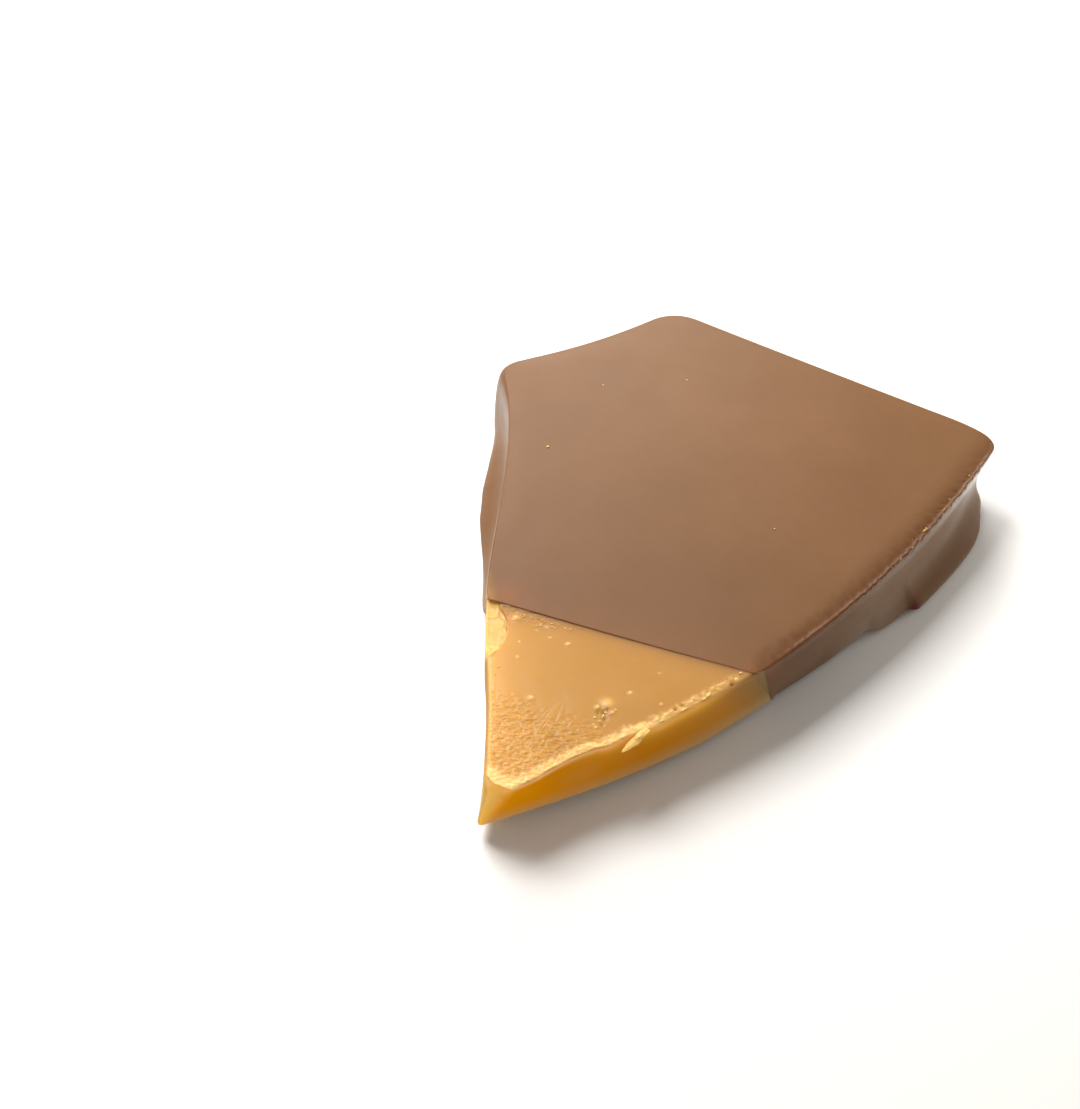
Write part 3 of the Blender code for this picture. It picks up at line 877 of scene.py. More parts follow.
# %% Bead on the edge
BEAD_HEIGHT = ((0.0, 0.0), (0.44, 0.0), (0.50, 0.10), (0.70, 0.12), (0.80, 0.20), (0.93, 0.16),
               (1.0, 0.0), (6.0, 0.0))
BEAD_SECTION = ((0.0, 1.0), (0.12, 0.9), (0.30, 0.15), (0.55, -0.30), (1.0, -0.15), (1.8, 0.0),
                (99.0, 0.0))
RAGGED = (  # station, width in stations, extra height
    (0.818, 0.004, 0.20), (0.832, 0.003, 0.14), (0.846, 0.004, 0.12), (0.862, 0.005, 0.12),
    (0.885, 0.004, 0.10), (0.900, 0.004, 0.10),
)
BEAD_SHARES = (0.25, 0.5, 0.8, 1.0, 1.0, 1.0)  # how much of the bead the last levels carry
COAT_MIDDLE = np.array((-2.0, 6.0))
COAT_CROWN, COAT_WAVES = 0.12, 0.035


def bead_at(stations):
    """The bead's height along the front edge, torn here and there."""
    uneven = np.clip(0.75 + 0.9 * grain_at(line_points(stations * 110), 1.0, 3), 0, 2)
    height = at_station(BEAD_HEIGHT, stations) * uneven
    for station, width, extra in RAGGED:
        height = height + extra * soft_spot(stations - station, width)
    return height


bead = bead_at(coat_stations)
bead[COAT_RUN:] = 0
for loop, share in zip(coat_sides[-len(BEAD_SHARES):], BEAD_SHARES):
    loop[:, 2] += bead * share
print("highest place of the bead:", round(float(bead.max()), 2), "mm")

# %% [markdown]
# ### Close the coat
# Rings close the top and the underside as they did on the toffee. The slab's own room is then cut
# out with a Boolean, which leaves a shell that is open at the dip plane.

# %% Rings of the coat
def coat_top(flat, share):
    """The height of the coat's top, with its swell, its bead and its lip."""
    x, y = flat.T
    waves = COAT_WAVES * grain_at(level_points(x, y), 9.0, 2, 4.4)
    swell = COAT_TOP + COAT_CROWN * (1 - share * share) + waves
    inwards = float(ease(1 - share, 0.0, 0.06))
    height = COAT_LEVELS[-1][0] * (1 - inwards) + swell * inwards
    from_edge = np.linalg.norm(coat_sides[-1][:, :2] - flat, axis=1)
    return tapered(height, x, y) + bead * at_station(BEAD_SECTION, from_edge)


COAT_RING_SHARES = 1 - np.array((
    0.002, 0.004, 0.007, 0.010, 0.014, 0.018, 0.023, 0.030, 0.040, 0.052, 0.066, 0.083, 0.105,
    0.13, 0.16, 0.20, 0.25, 0.31, 0.38, 0.46, 0.55, 0.65, 0.75, 0.85, 0.93, 0.975,
))
COAT_UNDER_SHARES = (0.05, 0.3, 0.6, 0.85, 0.95, 0.985)
ROOM_GROWN, ROOM_AHEAD = -0.06, 4.0  # a little smaller than the slab, so that no gap shows

coat_rings = []
for share in COAT_RING_SHARES:
    flat = shrunk(coat_sides[-1], COAT_MIDDLE, share)
    coat_rings.append(np.column_stack([flat, coat_top(flat, share)]))
coat_under = []
for share in COAT_UNDER_SHARES:
    flat = shrunk(coat_sides[0], COAT_MIDDLE, share)
    coat_under.append(np.column_stack([flat, tapered(0.0, *flat.T)]))

coat = loft("chocolate_coat", coat_under + coat_sides + coat_rings)
combine(coat, core("room", ROOM_GROWN, ROOM_AHEAD), "DIFFERENCE")
print("coat:", len(coat.data.polygons), "faces")

# %% [markdown]
# ## Masks
# A finish often has to know where it is: how deep the toffee is behind a face, or how thin the
# chocolate runs. Such a mask is a number stored at each point of the mesh. It is worked out from
# the same lines that shaped the surface, and the material reads it by name. It stays at its place
# on the object, wherever the camera goes.

# %% Store a mask
def mesh_arrays(made):
    """The points, in millimetres, and the point normals of an object's mesh."""
    count = len(made.data.vertices)
    points, normals = np.empty(count * 3), np.empty(count * 3)
    made.data.vertices.foreach_get("co", points)
    made.data.vertex_normals.foreach_get("vector", normals)
    return points.reshape(-1, 3) / MM, normals.reshape(-1, 3)


def store_mask(made, name, values):
    made.data.attributes.new(name, "FLOAT", "POINT").data.foreach_set(
        "value", np.clip(values, 0, 1).astype(np.float32))


def masks_of(made):
    return [item.name for item in made.data.attributes if item.data_type == "FLOAT"]


# %% [markdown]
# ### Top and side of the toffee
# The first masks tell the top from the broken side, how far ahead of the dip line a place lies,
# and how low on the side it is. The side gets more golden towards the point, and paler below,
# which is painted light from the floor.

# %% Toffee: top and side
points, normals = mesh_arrays(toffee)
x, y, z = points.T
up = normals[:, 2]
behind = behind_dip(x, y, z)
flat = level_points(x, y)
low, high = slab_bottom(x, y), slab_top(x, y)
level = np.clip((z - low) / (high - low), 0, 1)
facing_up = ease(up, 0.25, 0.75)
upright = 1 - ease(np.abs(up), 0.3, 0.8)
away, station = along_front(x, y)

store_mask(toffee, "up", facing_up)
store_mask(toffee, "side", np.maximum(upright, 1.0 * (up < -0.3)))
store_mask(toffee, "ahead", -behind / 20.0)
# Painted light: the side is paler low down, where light comes in from the floor.
store_mask(toffee, "low", (1 - ease(level, -0.25, 0.5)) / 0.74)
# Painted shade: faces that look to the left get a darker colour.
store_mask(toffee, "shaded_left_face", ease(-normals[:, 0], 0.5, 0.9))
print("toffee points:", len(points))

# %% [markdown]
# ### Light inside the toffee
# Thin places glow, because light comes through them from behind: the point, the left edge, and a
# band along the top of the broken side. The scattering in the material gives only a part of this.
# The rest is a lighter colour, put where one photograph shows it.

# %% Toffee: glow
BAND_TOP, BAND_DEPTH = 0.35, 0.8  # the band fades below this depth under the top edge

# Painted light along the top of the broken side.
glowing_top_band = np.exp(-np.clip(high - z - BAND_TOP, 0, None) / BAND_DEPTH)
glowing_top_band = glowing_top_band * (1 - ease(np.abs(up), 0.6, 0.9))
store_mask(toffee, "glowing_top_band", glowing_top_band * ease(x, -22.0, -14.0) * ease(x, -3.0, -8.5))
# Painted light at the thin point.
tip = ease(x + 0.42 * (8.4 - z), -25.6, -28.0) * ease(y, -29.0, -32.5) * (up < 0.75)
inside_facet = -beyond_facet(points)[0]
off_corner = inside_facet - 0.35 * np.exp(-(x + 29.3) / 0.8)
tip = np.maximum(tip, ease(off_corner, 0.12, -0.12) * (x < -27.5) * (y < -29.0) * (z > 7.0))
store_mask(toffee, "tip", tip)
left_glow = np.exp(-(x + 29.4) / 3.2) * ease(y, -10.5, -15.0)
tip_glow = 0.8 * ease(np.hypot(x + 29.0, y + 34.0), 11.0, 0.5)
glow = np.maximum(left_glow, tip_glow) * facing_up
store_mask(toffee, "glow", glow)
print("glowing points:", int((glow > 0.5).sum()))

# %% [markdown]
# ### Pale sugar and rims
# Where the surface is rough it scatters light and looks pale: in the sugary grain and along the
# crumbled rims. Every bubble also gets a pale spot, a painted highlight.

# %% Toffee: sugar and rims
RIM_PALENESS = (  # station on the front edge, how pale its rim is
    (0.0, 1.0), (0.22, 1.0), (0.28, 0.5), (0.36, 0.38), (0.41, 0.2), (EDGE_END, 0.0),
)
# Painted highlight: how pale each bubble's spot is.
BUBBLE_HIGHLIGHT = 0.6

store_mask(toffee, "sugar", sugar_at(x, y) * facing_up)
ragged = away + 0.45 * grain_at(flat, 0.6, 3)
rim = at_station(RIM_PALENESS, station) * (1 - ease(ragged, 0.5, 1.5))
left_rim = 0.6 * soft_spot(to_path(x, y, LEFT_EDGE), 0.7) * ease(y, -13.0, -19.0)
tip_rim = (1 - ease(inside_facet + 0.25 * grain_at(flat, 0.8), 0.7, 1.6)) * (x < -25.0)
pale = np.maximum(np.maximum(rim, left_rim), tip_rim * facing_up)
for bx, by, radius, _ in BUBBLES:
    pale = np.maximum(pale, BUBBLE_HIGHLIGHT * soft_spot(np.hypot(x - bx, y - by), radius))
store_mask(toffee, "rim", pale * ease(up, 0.0, 0.5))
print("pale points:", int((pale > 0.5).sum()))

# %% [markdown]
# ### Fine marks of the toffee
# The scar is a fresh, lighter break. Cracks and its edges are thin dark lines, and the groove by
# the ledge gets one as well, a painted shade. Pits are darker the deeper they are, and next to the
# coat a thin film of chocolate lies on the top.

# %% Toffee: scar, cracks and film
PIT_DARK_PER_DEPTH = 9.0  # a pit one ninth of a millimetre deep already gets the full dark colour

scar = inside_polygon(x, y, SCAR_CORNERS) * ease(z, 7.2, 8.1)
store_mask(toffee, "scar", scar * (1 - 0.30 * soft_spot(y + 14.4, 1.4)))
crack = np.zeros_like(x)
for path in CRACKS + SCAR_EDGES:
    crack = np.maximum(crack, 0.75 * soft_spot(to_path(x, y, path), CRACK_WIDTH))
wander = away - ledge_width(flat)
on_ledge = (ease(station, *LEDGE_FADE) * ease(up, 0.0, 0.4)
            * ease(inside_facet, 0.4, 0.9) * ease(up, 0.3, 0.7))
# Painted shade: the groove by the ledge gets a dark line.
groove = 0.85 * soft_spot(wander, 0.06) * on_ledge
store_mask(toffee, "crack", np.maximum(crack * (z > 7.5), groove) * facing_up)
store_mask(toffee, "ledge", ease(wander, 0.0, -0.12) * on_ledge)
dark_pits = np.zeros_like(x)
for px, py, radius, depth in PITS:
    dark = min(1.0, depth * PIT_DARK_PER_DEPTH) * soft_spot(np.hypot(x - px, y - py), radius * 1.1)
    dark_pits = np.maximum(dark_pits, dark)
store_mask(toffee, "dark_pits", dark_pits * facing_up)
ahead = np.clip(-behind, 0, None)
film = 0.8 * np.exp(-ahead / 0.65) + 0.2 * np.exp(-ahead / 3.0)
store_mask(toffee, "film", film * facing_up)
print("masks of the toffee:", masks_of(toffee))

# %% [markdown]
# ### Thin chocolate
# Where the coat thins out, the toffee below shows through as orange: at the lip, along the top
# edge near the dip line, and at a few spots where the chocolate tore or was rubbed off.

# %% Coat: thin places
THIN_SPOTS = (  # x, y, z, radius, strength
    (-1.6, -19.4, 9.5, 1.2, 0.7), (0.5, -18.2, 9.6, 0.9, 0.7), (1.9, -17.2, 9.7, 0.7, 0.5),
    (19.2, -0.4, 9.9, 0.5, 0.5), (22.0, 2.8, 9.9, 0.5, 0.4), (-27.4, -10.0, 9.4, 1.7, 0.75),
    (-25.4, -11.0, 9.4, 1.3, 0.4), (1.0, -18.7, 8.3, 1.4, 0.9),
)

points, normals = mesh_arrays(coat)
x, y, z = points.T
up = normals[:, 2]
behind = behind_dip(x, y, z)
away = to_path(x, y, edge_points(0, np.linspace(0.40, 1.0, 90)))
upright = 1 - ease(np.abs(up), 0.2, 0.7)
thin = 0.55 * np.exp(-(np.clip(behind, 0, None) / 0.22) ** 1.2) * (z > 5.0)
thin = np.maximum(thin, 0.27 * np.exp(-np.clip(behind, 0, None) / 1.5))
patchy = np.clip(1.0 + 1.3 * grain_at(points, 0.7, 3, 5.2), 0, 2)
edge_thin = 0.38 * patchy * soft_spot(away - 0.6, 0.5) * ease(x, 14.0, 10.0) * (z > 8.9)
thin = np.maximum(thin, edge_thin)
for sx, sy, sz, radius, strength in THIN_SPOTS:
    gap = np.sqrt((x - sx) ** 2 + (y - sy) ** 2 + (z - sz) ** 2)
    thin = np.maximum(thin, strength * soft_spot(gap, radius))
store_mask(coat, "thin", thin)
print("thin points of the coat:", int((thin > 0.5).sum()), "of", len(points))

# %% [markdown]
# ### The ends of the dip line
# At its left end the coat is a gold patch on the shard's side. At its right end it runs down the
# broken side in a straight seam, dark at its edge, and only a film covers the toffee before it.

# %% Coat: gold and seam
SEAM_LOW, SEAM_HIGH = np.array((1.75, -17.5, 1.0)), np.array((-0.35, -19.7, 9.2))

on_left = ease(x + 0.10 * np.abs(z - 9.0), -28.2, -28.9)
blurred = behind + 1.2 * grain_at(points, 2.5, 3, 8.1)
gold = on_left * ease(blurred, 3.6, 0.4) * ease(z, 9.4, 8.7) * (0.45 + 0.55 * ease(z, 4.0, 8.5))
seam_share = np.clip((z - SEAM_LOW[2]) / (SEAM_HIGH[2] - SEAM_LOW[2]), 0, 1)
past_seam = x - (SEAM_LOW[0] + (SEAM_HIGH[0] - SEAM_LOW[0]) * seam_share)
film_over = ease(past_seam, 0.05, -0.05) * (y < -14) * (x > -8) * ease(up, 0.75, 0.35)
store_mask(coat, "gold", gold)
store_mask(coat, "gold_film", film_over)
store_mask(coat, "seam", soft_spot(past_seam, 0.10) * (y < -14) * ease(z, 9.2, 8.7))
print("seam leans", round(float(SEAM_LOW[0] - SEAM_HIGH[0]), 2), "mm over the side")

# %% [markdown]
# ### Edge, foot and gloss of the coat
# The ragged bead along the edge is a little paler, and so is the foot. A ruby spot sits in the
# nick before the big lobe. The gloss of the side grows towards the right corner.

# %% Coat: edge and foot
store_mask(coat, "bead", patchy * soft_spot(away, 0.20) * (z > 9.3) * ease(x, 14.0, 9.0))
store_mask(coat, "ruby", soft_spot(np.hypot(x - 19.4, y + 4.3), 0.9) * ease(z, 2.6, 0.9))
store_mask(coat, "foot", upright * ease(z, 2.2, 0.3))
store_mask(coat, "side", upright)
near_corner = 0.05 + 0.95 * ease(x, 19.0, 29.0)
below_edge = ease(up, 0.8, 0.4) * ease(z, 3.0, 7.0)
satin = below_edge * near_corner * ease(x, 2.0, 8.0)
store_mask(coat, "satin", satin)
print("glossy points:", int((satin > 0.5).sum()))

# %% [markdown]
# ### Sheen and shade
# The real side mirrors the white room towards the right corner. The gloss gives a part of that.
# The rest is a paler colour on the faces that look forward, put where one photograph shows it. It
# is kept weak, because a strong one turns the side white when it is seen from the right. The shade
# is its counterpart: a darker band along the front of the top, and beside the seam.

# %% Coat: sheen and shade
STRIP_SHARE, GLOW_SHARE = 0.40, 0.20
SHEEN_ALONG = (  # x, extra share near the top edge, half way down and at the foot
    (8.0, 0.0, 0.0, 0.0), (10.0, 0.0, 0.02, 0.18), (13.5, 0.14, 0.14, 0.32),
    (17.5, 0.20, 0.16, 0.08), (21.5, 0.16, 0.10, 0.05), (24.0, 0.15, 0.10, 0.10),
    (28.0, 0.12, 0.12, 0.12), (31.0, 0.06, 0.06, 0.06),
)

strip = STRIP_SHARE * ease(x, 18.0, 27.0) * soft_spot(z - 8.7, 0.7)
glow = GLOW_SHARE * ease(x, 16.0, 29.0) * np.exp(-np.clip(8.6 - z, 0, None) / 2.8)
front_side = ease(up, 0.8, 0.4) * ease(-normals[:, 1], 0.15, 0.55)
keys, near_top, half_way, at_foot = np.transpose(SHEEN_ALONG)
near_top, half_way, at_foot = (np.interp(x, keys, row) for row in (near_top, half_way, at_foot))
extra = np.where(z > 5.0, half_way + (near_top - half_way) * np.clip((z - 5.0) / 3.0, 0, 1),
                 at_foot + (half_way - at_foot) * np.clip((z - 1.0) / 4.0, 0, 1))
store_mask(coat, "sheen", front_side * (np.maximum(strip, glow) + extra))
edge_shade = ease(away, 3.5, 0.1) * ease(x, -5.0, 1.0) * (1 - 0.4 * ease(x, 20.0, 28.0))
edge_shade = edge_shade * (0.75 + 0.25 * patchy)
shade = np.maximum(edge_shade, 0.25 * ease(behind, 22.0, 4.0))
shade = shade * ease(up, 0.5, 0.8) * (z > 8.5)
near_seam = 0.45 * upright * ease(x, 12.0, 4.0) * ease(x, -1.0, 1.0) * ease(z, 3.0, 8.0)
store_mask(coat, "shade", np.maximum(shade, near_seam * (y < -5.0)))
print("masks of the coat:", masks_of(coat))

# %% [markdown]
# ## Shared effects
# Both foods have a cloudy unevenness in their colour, a fine relief in their skin and an uneven
# gloss. Each of these effects is one node group, with the sizes as inputs, and every material
# places it with its own values. The groups give out colours, heights and roughness only. The shader
# itself stays in the material.

# %% Node helpers
def add_node(tree, kind, inputs=None, **settings):
    """A node with its settings, and its inputs filled with values or linked to sockets."""
    node = tree.nodes.new(kind)
    for name, value in settings.items():
        setattr(node, name, value)
    for name, value in (inputs or {}).items():
        if isinstance(value, bpy.types.NodeSocket):
            tree.links.new(value, node.inputs[name])
        else:
            node.inputs[name].default_value = value
    return node


def new_group(name, inputs, outputs):
    """An empty node group with named sockets, and its input and output nodes."""
    group = bpy.data.node_groups.new(name, "ShaderNodeTree")
    for label, kind, default in inputs:
        group.interface.new_socket(label, in_out="INPUT", socket_type=kind).default_value = default
    for label, kind in outputs:
        group.interface.new_socket(label, in_out="OUTPUT", socket_type=kind)
    return group, group.nodes.new("NodeGroupInput").outputs, group.nodes.new("NodeGroupOutput")


def place_group(tree, group, inputs):
    return add_node(tree, "ShaderNodeGroup", inputs, node_tree=group).outputs


def times(tree, first, second):
    return add_node(tree, "ShaderNodeMath", {0: first, 1: second}, operation="MULTIPLY").outputs[0]


def times_plus(tree, first, second, third):
    return add_node(
        tree, "ShaderNodeMath", {0: first, 1: second, 2: third}, operation="MULTIPLY_ADD"
    ).outputs[0]


# %% Cloudy colour
FLOAT, COLOUR, VECTOR = "NodeSocketFloat", "NodeSocketColor", "NodeSocketVector"
cloudy_colour, given, result = new_group(
    "cloudy_colour",
    (("Light", COLOUR, (1, 1, 1, 1)), ("Dark", COLOUR, (0, 0, 0, 1)), ("Size mm", FLOAT, 8.0),
     ("Detail size mm", FLOAT, 1.0), ("Detail share", FLOAT, 0.3)),
    (("Color", COLOUR),),
)
place = add_node(cloudy_colour, "ShaderNodeTexCoord").outputs["Object"]


def noise_of_size(tree, place, size_mm, detail=2.0, stretch=None):
    """A noise texture whose bumps have this size in millimetres."""
    scale = add_node(tree, "ShaderNodeMath", {0: 1000.0, 1: size_mm}, operation="DIVIDE").outputs[0]
    if stretch is not None:
        place = add_node(
            tree, "ShaderNodeVectorMath", {0: place, 1: stretch}, operation="MULTIPLY"
        ).outputs[0]
    return add_node(
        tree, "ShaderNodeTexNoise", {"Vector": place, "Scale": scale, "Detail": detail}
    ).outputs["Fac"]


broad = noise_of_size(cloudy_colour, place, given["Size mm"])
small = noise_of_size(cloudy_colour, place, given["Detail size mm"], 3.0)
both = add_node(
    cloudy_colour, "ShaderNodeMix",
    {"Factor": given["Detail share"], "A": broad, "B": small}, data_type="FLOAT",
).outputs[0]
spread = add_node(
    cloudy_colour, "ShaderNodeMapRange", {"Value": both, "From Min": 0.32, "From Max": 0.68}
).outputs[0]
mixed = add_node(
    cloudy_colour, "ShaderNodeMix",
    {"Factor": spread, 6: given["Dark"], 7: given["Light"]}, data_type="RGBA",
).outputs[2]
cloudy_colour.links.new(mixed, result.inputs["Color"])

# %% Skin relief
skin_relief, given, result = new_group(
    "skin_relief",
    (("Wave size mm", FLOAT, 3.0), ("Wave depth", FLOAT, 0.5), ("Grain size mm", FLOAT, 0.3),
     ("Grain depth", FLOAT, 0.1), ("Stretch", VECTOR, (1, 1, 1))),
    (("Height", FLOAT),),
)
place = add_node(skin_relief, "ShaderNodeTexCoord").outputs["Object"]
wave = noise_of_size(skin_relief, place, given["Wave size mm"])
grain = noise_of_size(skin_relief, place, given["Grain size mm"], 3.0, given["Stretch"])
wave = times(skin_relief, wave, given["Wave depth"])
height = times_plus(skin_relief, grain, given["Grain depth"], wave)
skin_relief.links.new(height, result.inputs["Height"])

# %% Uneven gloss
uneven_gloss, given, result = new_group(
    "uneven_gloss",
    (("Size mm", FLOAT, 2.0), ("Least", FLOAT, 0.3), ("Most", FLOAT, 0.5)),
    (("Roughness", FLOAT),),
)
place = add_node(uneven_gloss, "ShaderNodeTexCoord").outputs["Object"]
patches = noise_of_size(uneven_gloss, place, given["Size mm"], 4.0)
gloss = add_node(
    uneven_gloss, "ShaderNodeMapRange",
    {"Value": patches, "From Min": 0.3, "From Max": 0.7, "To Min": given["Least"],
     "To Max": given["Most"]},
).outputs[0]
uneven_gloss.links.new(gloss, result.inputs["Roughness"])
print("node groups:", [group.name for group in bpy.data.node_groups])

# %% [markdown]
# ## The materials
# Milk chocolate is a fat that sets with a satin skin: brown, a little uneven, with a wide soft
# reflection. Where it runs out over the toffee it lets the gold below shine through as orange.
# Toffee is a glass of sugar and butter. Light goes in and comes out again further on, so it needs
# subsurface scattering, and a face seen through more of it looks deeper and more saturated.

# %% Material helpers
def new_material(name, roughness=0.4):
    material = bpy.data.materials.new(name)
    material.use_nodes = True
    tree = material.node_tree
    shader = tree.nodes["Principled BSDF"]
    shader.inputs["Roughness"].default_value = roughness
    return material, tree, shader


def mask(tree, name):
    return add_node(tree, "ShaderNodeAttribute", attribute_name=name).outputs["Fac"]


def tint(tree, base, colour, share):
    """The base colour with another mixed in by a mask."""
    return add_node(
        tree, "ShaderNodeMix", {"Factor": share, 6: base, 7: colour}, data_type="RGBA"
    ).outputs[2]


def bump(tree, height, depth_mm, normal=None):
    inputs = {"Height": height, "Distance": depth_mm * MM, "Strength": 1.0}
    if normal is not None:
        inputs["Normal"] = normal
    return add_node(tree, "ShaderNodeBump", inputs).outputs[0]


# %% Milk chocolate
CHOCOLATE_LIGHT = (0.187, 0.091, 0.038, 1.0)
CHOCOLATE_DARK = (0.167, 0.080, 0.033, 1.0)
CHOCOLATE_SHEEN = (0.70, 0.60, 0.49, 1.0)
CHOCOLATE_THIN = (0.29, 0.105, 0.030, 1.0)
CHOCOLATE_FILM = (0.28, 0.160, 0.050, 1.0)
CHOCOLATE_SEAM = (0.10, 0.05, 0.02, 1.0)
CHOCOLATE_SHADE = (0.100, 0.036, 0.009, 1.0)
CHOCOLATE_FLECK = (0.27, 0.165, 0.088, 1.0)
CHOCOLATE_TORN = (0.19, 0.095, 0.042, 1.0)
CHOCOLATE_GOLD = (0.46, 0.23, 0.035, 1.0)
CHOCOLATE_BEAD = (0.30, 0.165, 0.085, 1.0)
CHOCOLATE_RUBY = (0.12, 0.020, 0.012, 1.0)
CHOCOLATE_FOOT = (0.23, 0.125, 0.075, 1.0)

chocolate, tree, shader = new_material("milk_chocolate")
colour = place_group(tree, cloudy_colour, {
    "Light": CHOCOLATE_LIGHT, "Dark": CHOCOLATE_DARK, "Size mm": 11.0, "Detail size mm": 0.8,
    "Detail share": 0.25,
})["Color"]
for name, finish, strength in (
    ("foot", CHOCOLATE_FOOT, 0.5), ("thin", CHOCOLATE_THIN, 0.9), ("bead", CHOCOLATE_BEAD, 0.6),
    ("shade", CHOCOLATE_SHADE, 0.95), ("sheen", CHOCOLATE_SHEEN, 0.9),
    ("gold", CHOCOLATE_GOLD, 0.9), ("gold_film", CHOCOLATE_FILM, 0.95),
    ("seam", CHOCOLATE_SEAM, 0.7), ("ruby", CHOCOLATE_RUBY, 1.0),
):
    colour = tint(tree, colour, finish, times(tree, mask(tree, name), strength))
tree.links.new(colour, shader.inputs["Base Color"])
gloss = place_group(tree, uneven_gloss, {"Size mm": 3.0, "Least": 0.44, "Most": 0.51})["Roughness"]
gloss = times_plus(tree, mask(tree, "side"), -0.14, gloss)
tree.links.new(gloss, shader.inputs["Roughness"])
relief = place_group(tree, skin_relief, {
    "Wave size mm": 4.0, "Wave depth": 0.8, "Grain size mm": 0.22, "Grain depth": 0.10,
})["Height"]
tree.links.new(bump(tree, relief, 0.06), shader.inputs["Normal"])
shader.inputs["Specular IOR Level"].default_value = 0.19
shader.inputs["Coat Roughness"].default_value = 0.34
shader.inputs["Coat IOR"].default_value = 2.7
tree.links.new(mask(tree, "satin"), shader.inputs["Coat Weight"])
shader.inputs["Subsurface Weight"].default_value = 0.15
shader.inputs["Subsurface Radius"].default_value = (1.0, 0.45, 0.25)
shader.inputs["Subsurface Scale"].default_value = 0.5 * MM
print("nodes in the chocolate:", len(tree.nodes))

# %% Torn chocolate
torn_finish, tree, shader = new_material("torn_chocolate", roughness=0.5)
colour = place_group(tree, cloudy_colour, {
    "Light": CHOCOLATE_FLECK, "Dark": CHOCOLATE_TORN, "Size mm": 1.0, "Detail size mm": 0.2,
    "Detail share": 0.4,
})["Color"]
tree.links.new(colour, shader.inputs["Base Color"])
shader.inputs["Specular IOR Level"].default_value = 0.25

# %% Colours of the toffee
TOFFEE_LIGHT = (0.450, 0.240, 0.072, 1.0)
TOFFEE_DARK = (0.425, 0.218, 0.062, 1.0)
SUGAR_LIGHT = (0.62, 0.330, 0.090, 1.0)
SUGAR_DARK = (0.38, 0.185, 0.042, 1.0)
TOFFEE_GLOW = (0.76, 0.41, 0.12, 1.0)
# Pale rims, and the painted highlight on the bubbles.
TOFFEE_PALE_RIM_AND_HIGHLIGHT = (0.90, 0.61, 0.25, 1.0)
TOFFEE_SCAR = (0.65, 0.42, 0.13, 1.0)
TOFFEE_LEDGE = (0.97, 0.60, 0.25, 1.0)
# Painted shade on the faces that look to the left.
TOFFEE_LEFT_SHADE = (0.30, 0.18, 0.09, 1.0)
# Dark cracks, and painted shade in the groove by the ledge.
TOFFEE_CRACK_AND_GROOVE_SHADE = (0.34, 0.12, 0.02, 1.0)
TOFFEE_FILM = (0.26, 0.128, 0.062, 1.0)
TOFFEE_PIT_DARK = (0.26, 0.110, 0.010, 1.0)
# Painted light at the thin point.
TOFFEE_TIP_GLOW = (1.0, 0.61, 0.11, 1.0)
# Painted light from the floor, low on the broken side.
TOFFEE_FLOOR_LIGHT = (0.62, 0.41, 0.19, 1.0)
# Painted light along the top of the broken side.
TOFFEE_TOP_BAND_GLOW = (1.0, 0.54, 0.072, 1.0)
SIDE_COLOURS = (  # share of the way from the dip line to the point, colour
    (0.0, (0.275, 0.168, 0.068, 1.0)), (0.22, (0.50, 0.20, 0.028, 1.0)),
    (0.60, (0.58, 0.195, 0.002, 1.0)), (1.0, (0.76, 0.262, 0.001, 1.0)),
)
print("colours of the side:", len(SIDE_COLOURS))


# %% Gloss and light of the toffee
def toffee_shader(tree, shader, colour, grain_depth, deep_mm, inside):
    """The part that the slab and its crumbs share: gloss, grain and the light inside."""
    tree.links.new(colour, shader.inputs["Base Color"])
    gloss = place_group(tree, uneven_gloss, {"Size mm": 1.2, "Least": 0.22, "Most": 0.36})
    tree.links.new(gloss["Roughness"], shader.inputs["Roughness"])
    relief = place_group(tree, skin_relief, {
        "Wave size mm": 2.5, "Wave depth": 0.2, "Grain size mm": 0.36,
        "Grain depth": grain_depth, "Stretch": (0.6, 1.4, 1.0),
    })["Height"]
    tree.links.new(bump(tree, relief, 0.06), shader.inputs["Normal"])
    shader.inputs["Specular IOR Level"].default_value = 0.0
    shader.inputs["Coat Roughness"].default_value = 0.22
    shader.inputs["Subsurface Weight"].default_value = inside
    shader.inputs["Subsurface Radius"].default_value = (1.0, 0.45, 0.12)
    shader.inputs["Subsurface Scale"].default_value = deep_mm * MM


# %% [markdown]
# ### Hard toffee
# The top is a cloudy gold with paler sugar over it. The broken side follows a ramp from the dip
# line to the point, and then each mask lays its own colour over what lies below.

# %% Hard toffee
toffee_finish, tree, shader = new_material("hard_toffee")
colour = place_group(tree, cloudy_colour, {
    "Light": TOFFEE_LIGHT, "Dark": TOFFEE_DARK, "Size mm": 7.0, "Detail size mm": 0.8,
    "Detail share": 0.1,
})["Color"]
sugar = place_group(tree, cloudy_colour, {
    "Light": SUGAR_LIGHT, "Dark": SUGAR_DARK, "Size mm": 0.9, "Detail size mm": 0.28,
    "Detail share": 0.6,
})["Color"]
colour = tint(tree, colour, sugar, times(tree, mask(tree, "sugar"), 0.6))
ramp = add_node(tree, "ShaderNodeValToRGB", {"Fac": mask(tree, "ahead")})
while len(ramp.color_ramp.elements) < len(SIDE_COLOURS):
    ramp.color_ramp.elements.new(0.5)
for element, (place, shade) in zip(ramp.color_ramp.elements, SIDE_COLOURS):
    element.position = place
    element.color = shade
colour = tint(tree, colour, ramp.outputs["Color"], mask(tree, "side"))
low = times(tree, mask(tree, "low"), mask(tree, "side"))
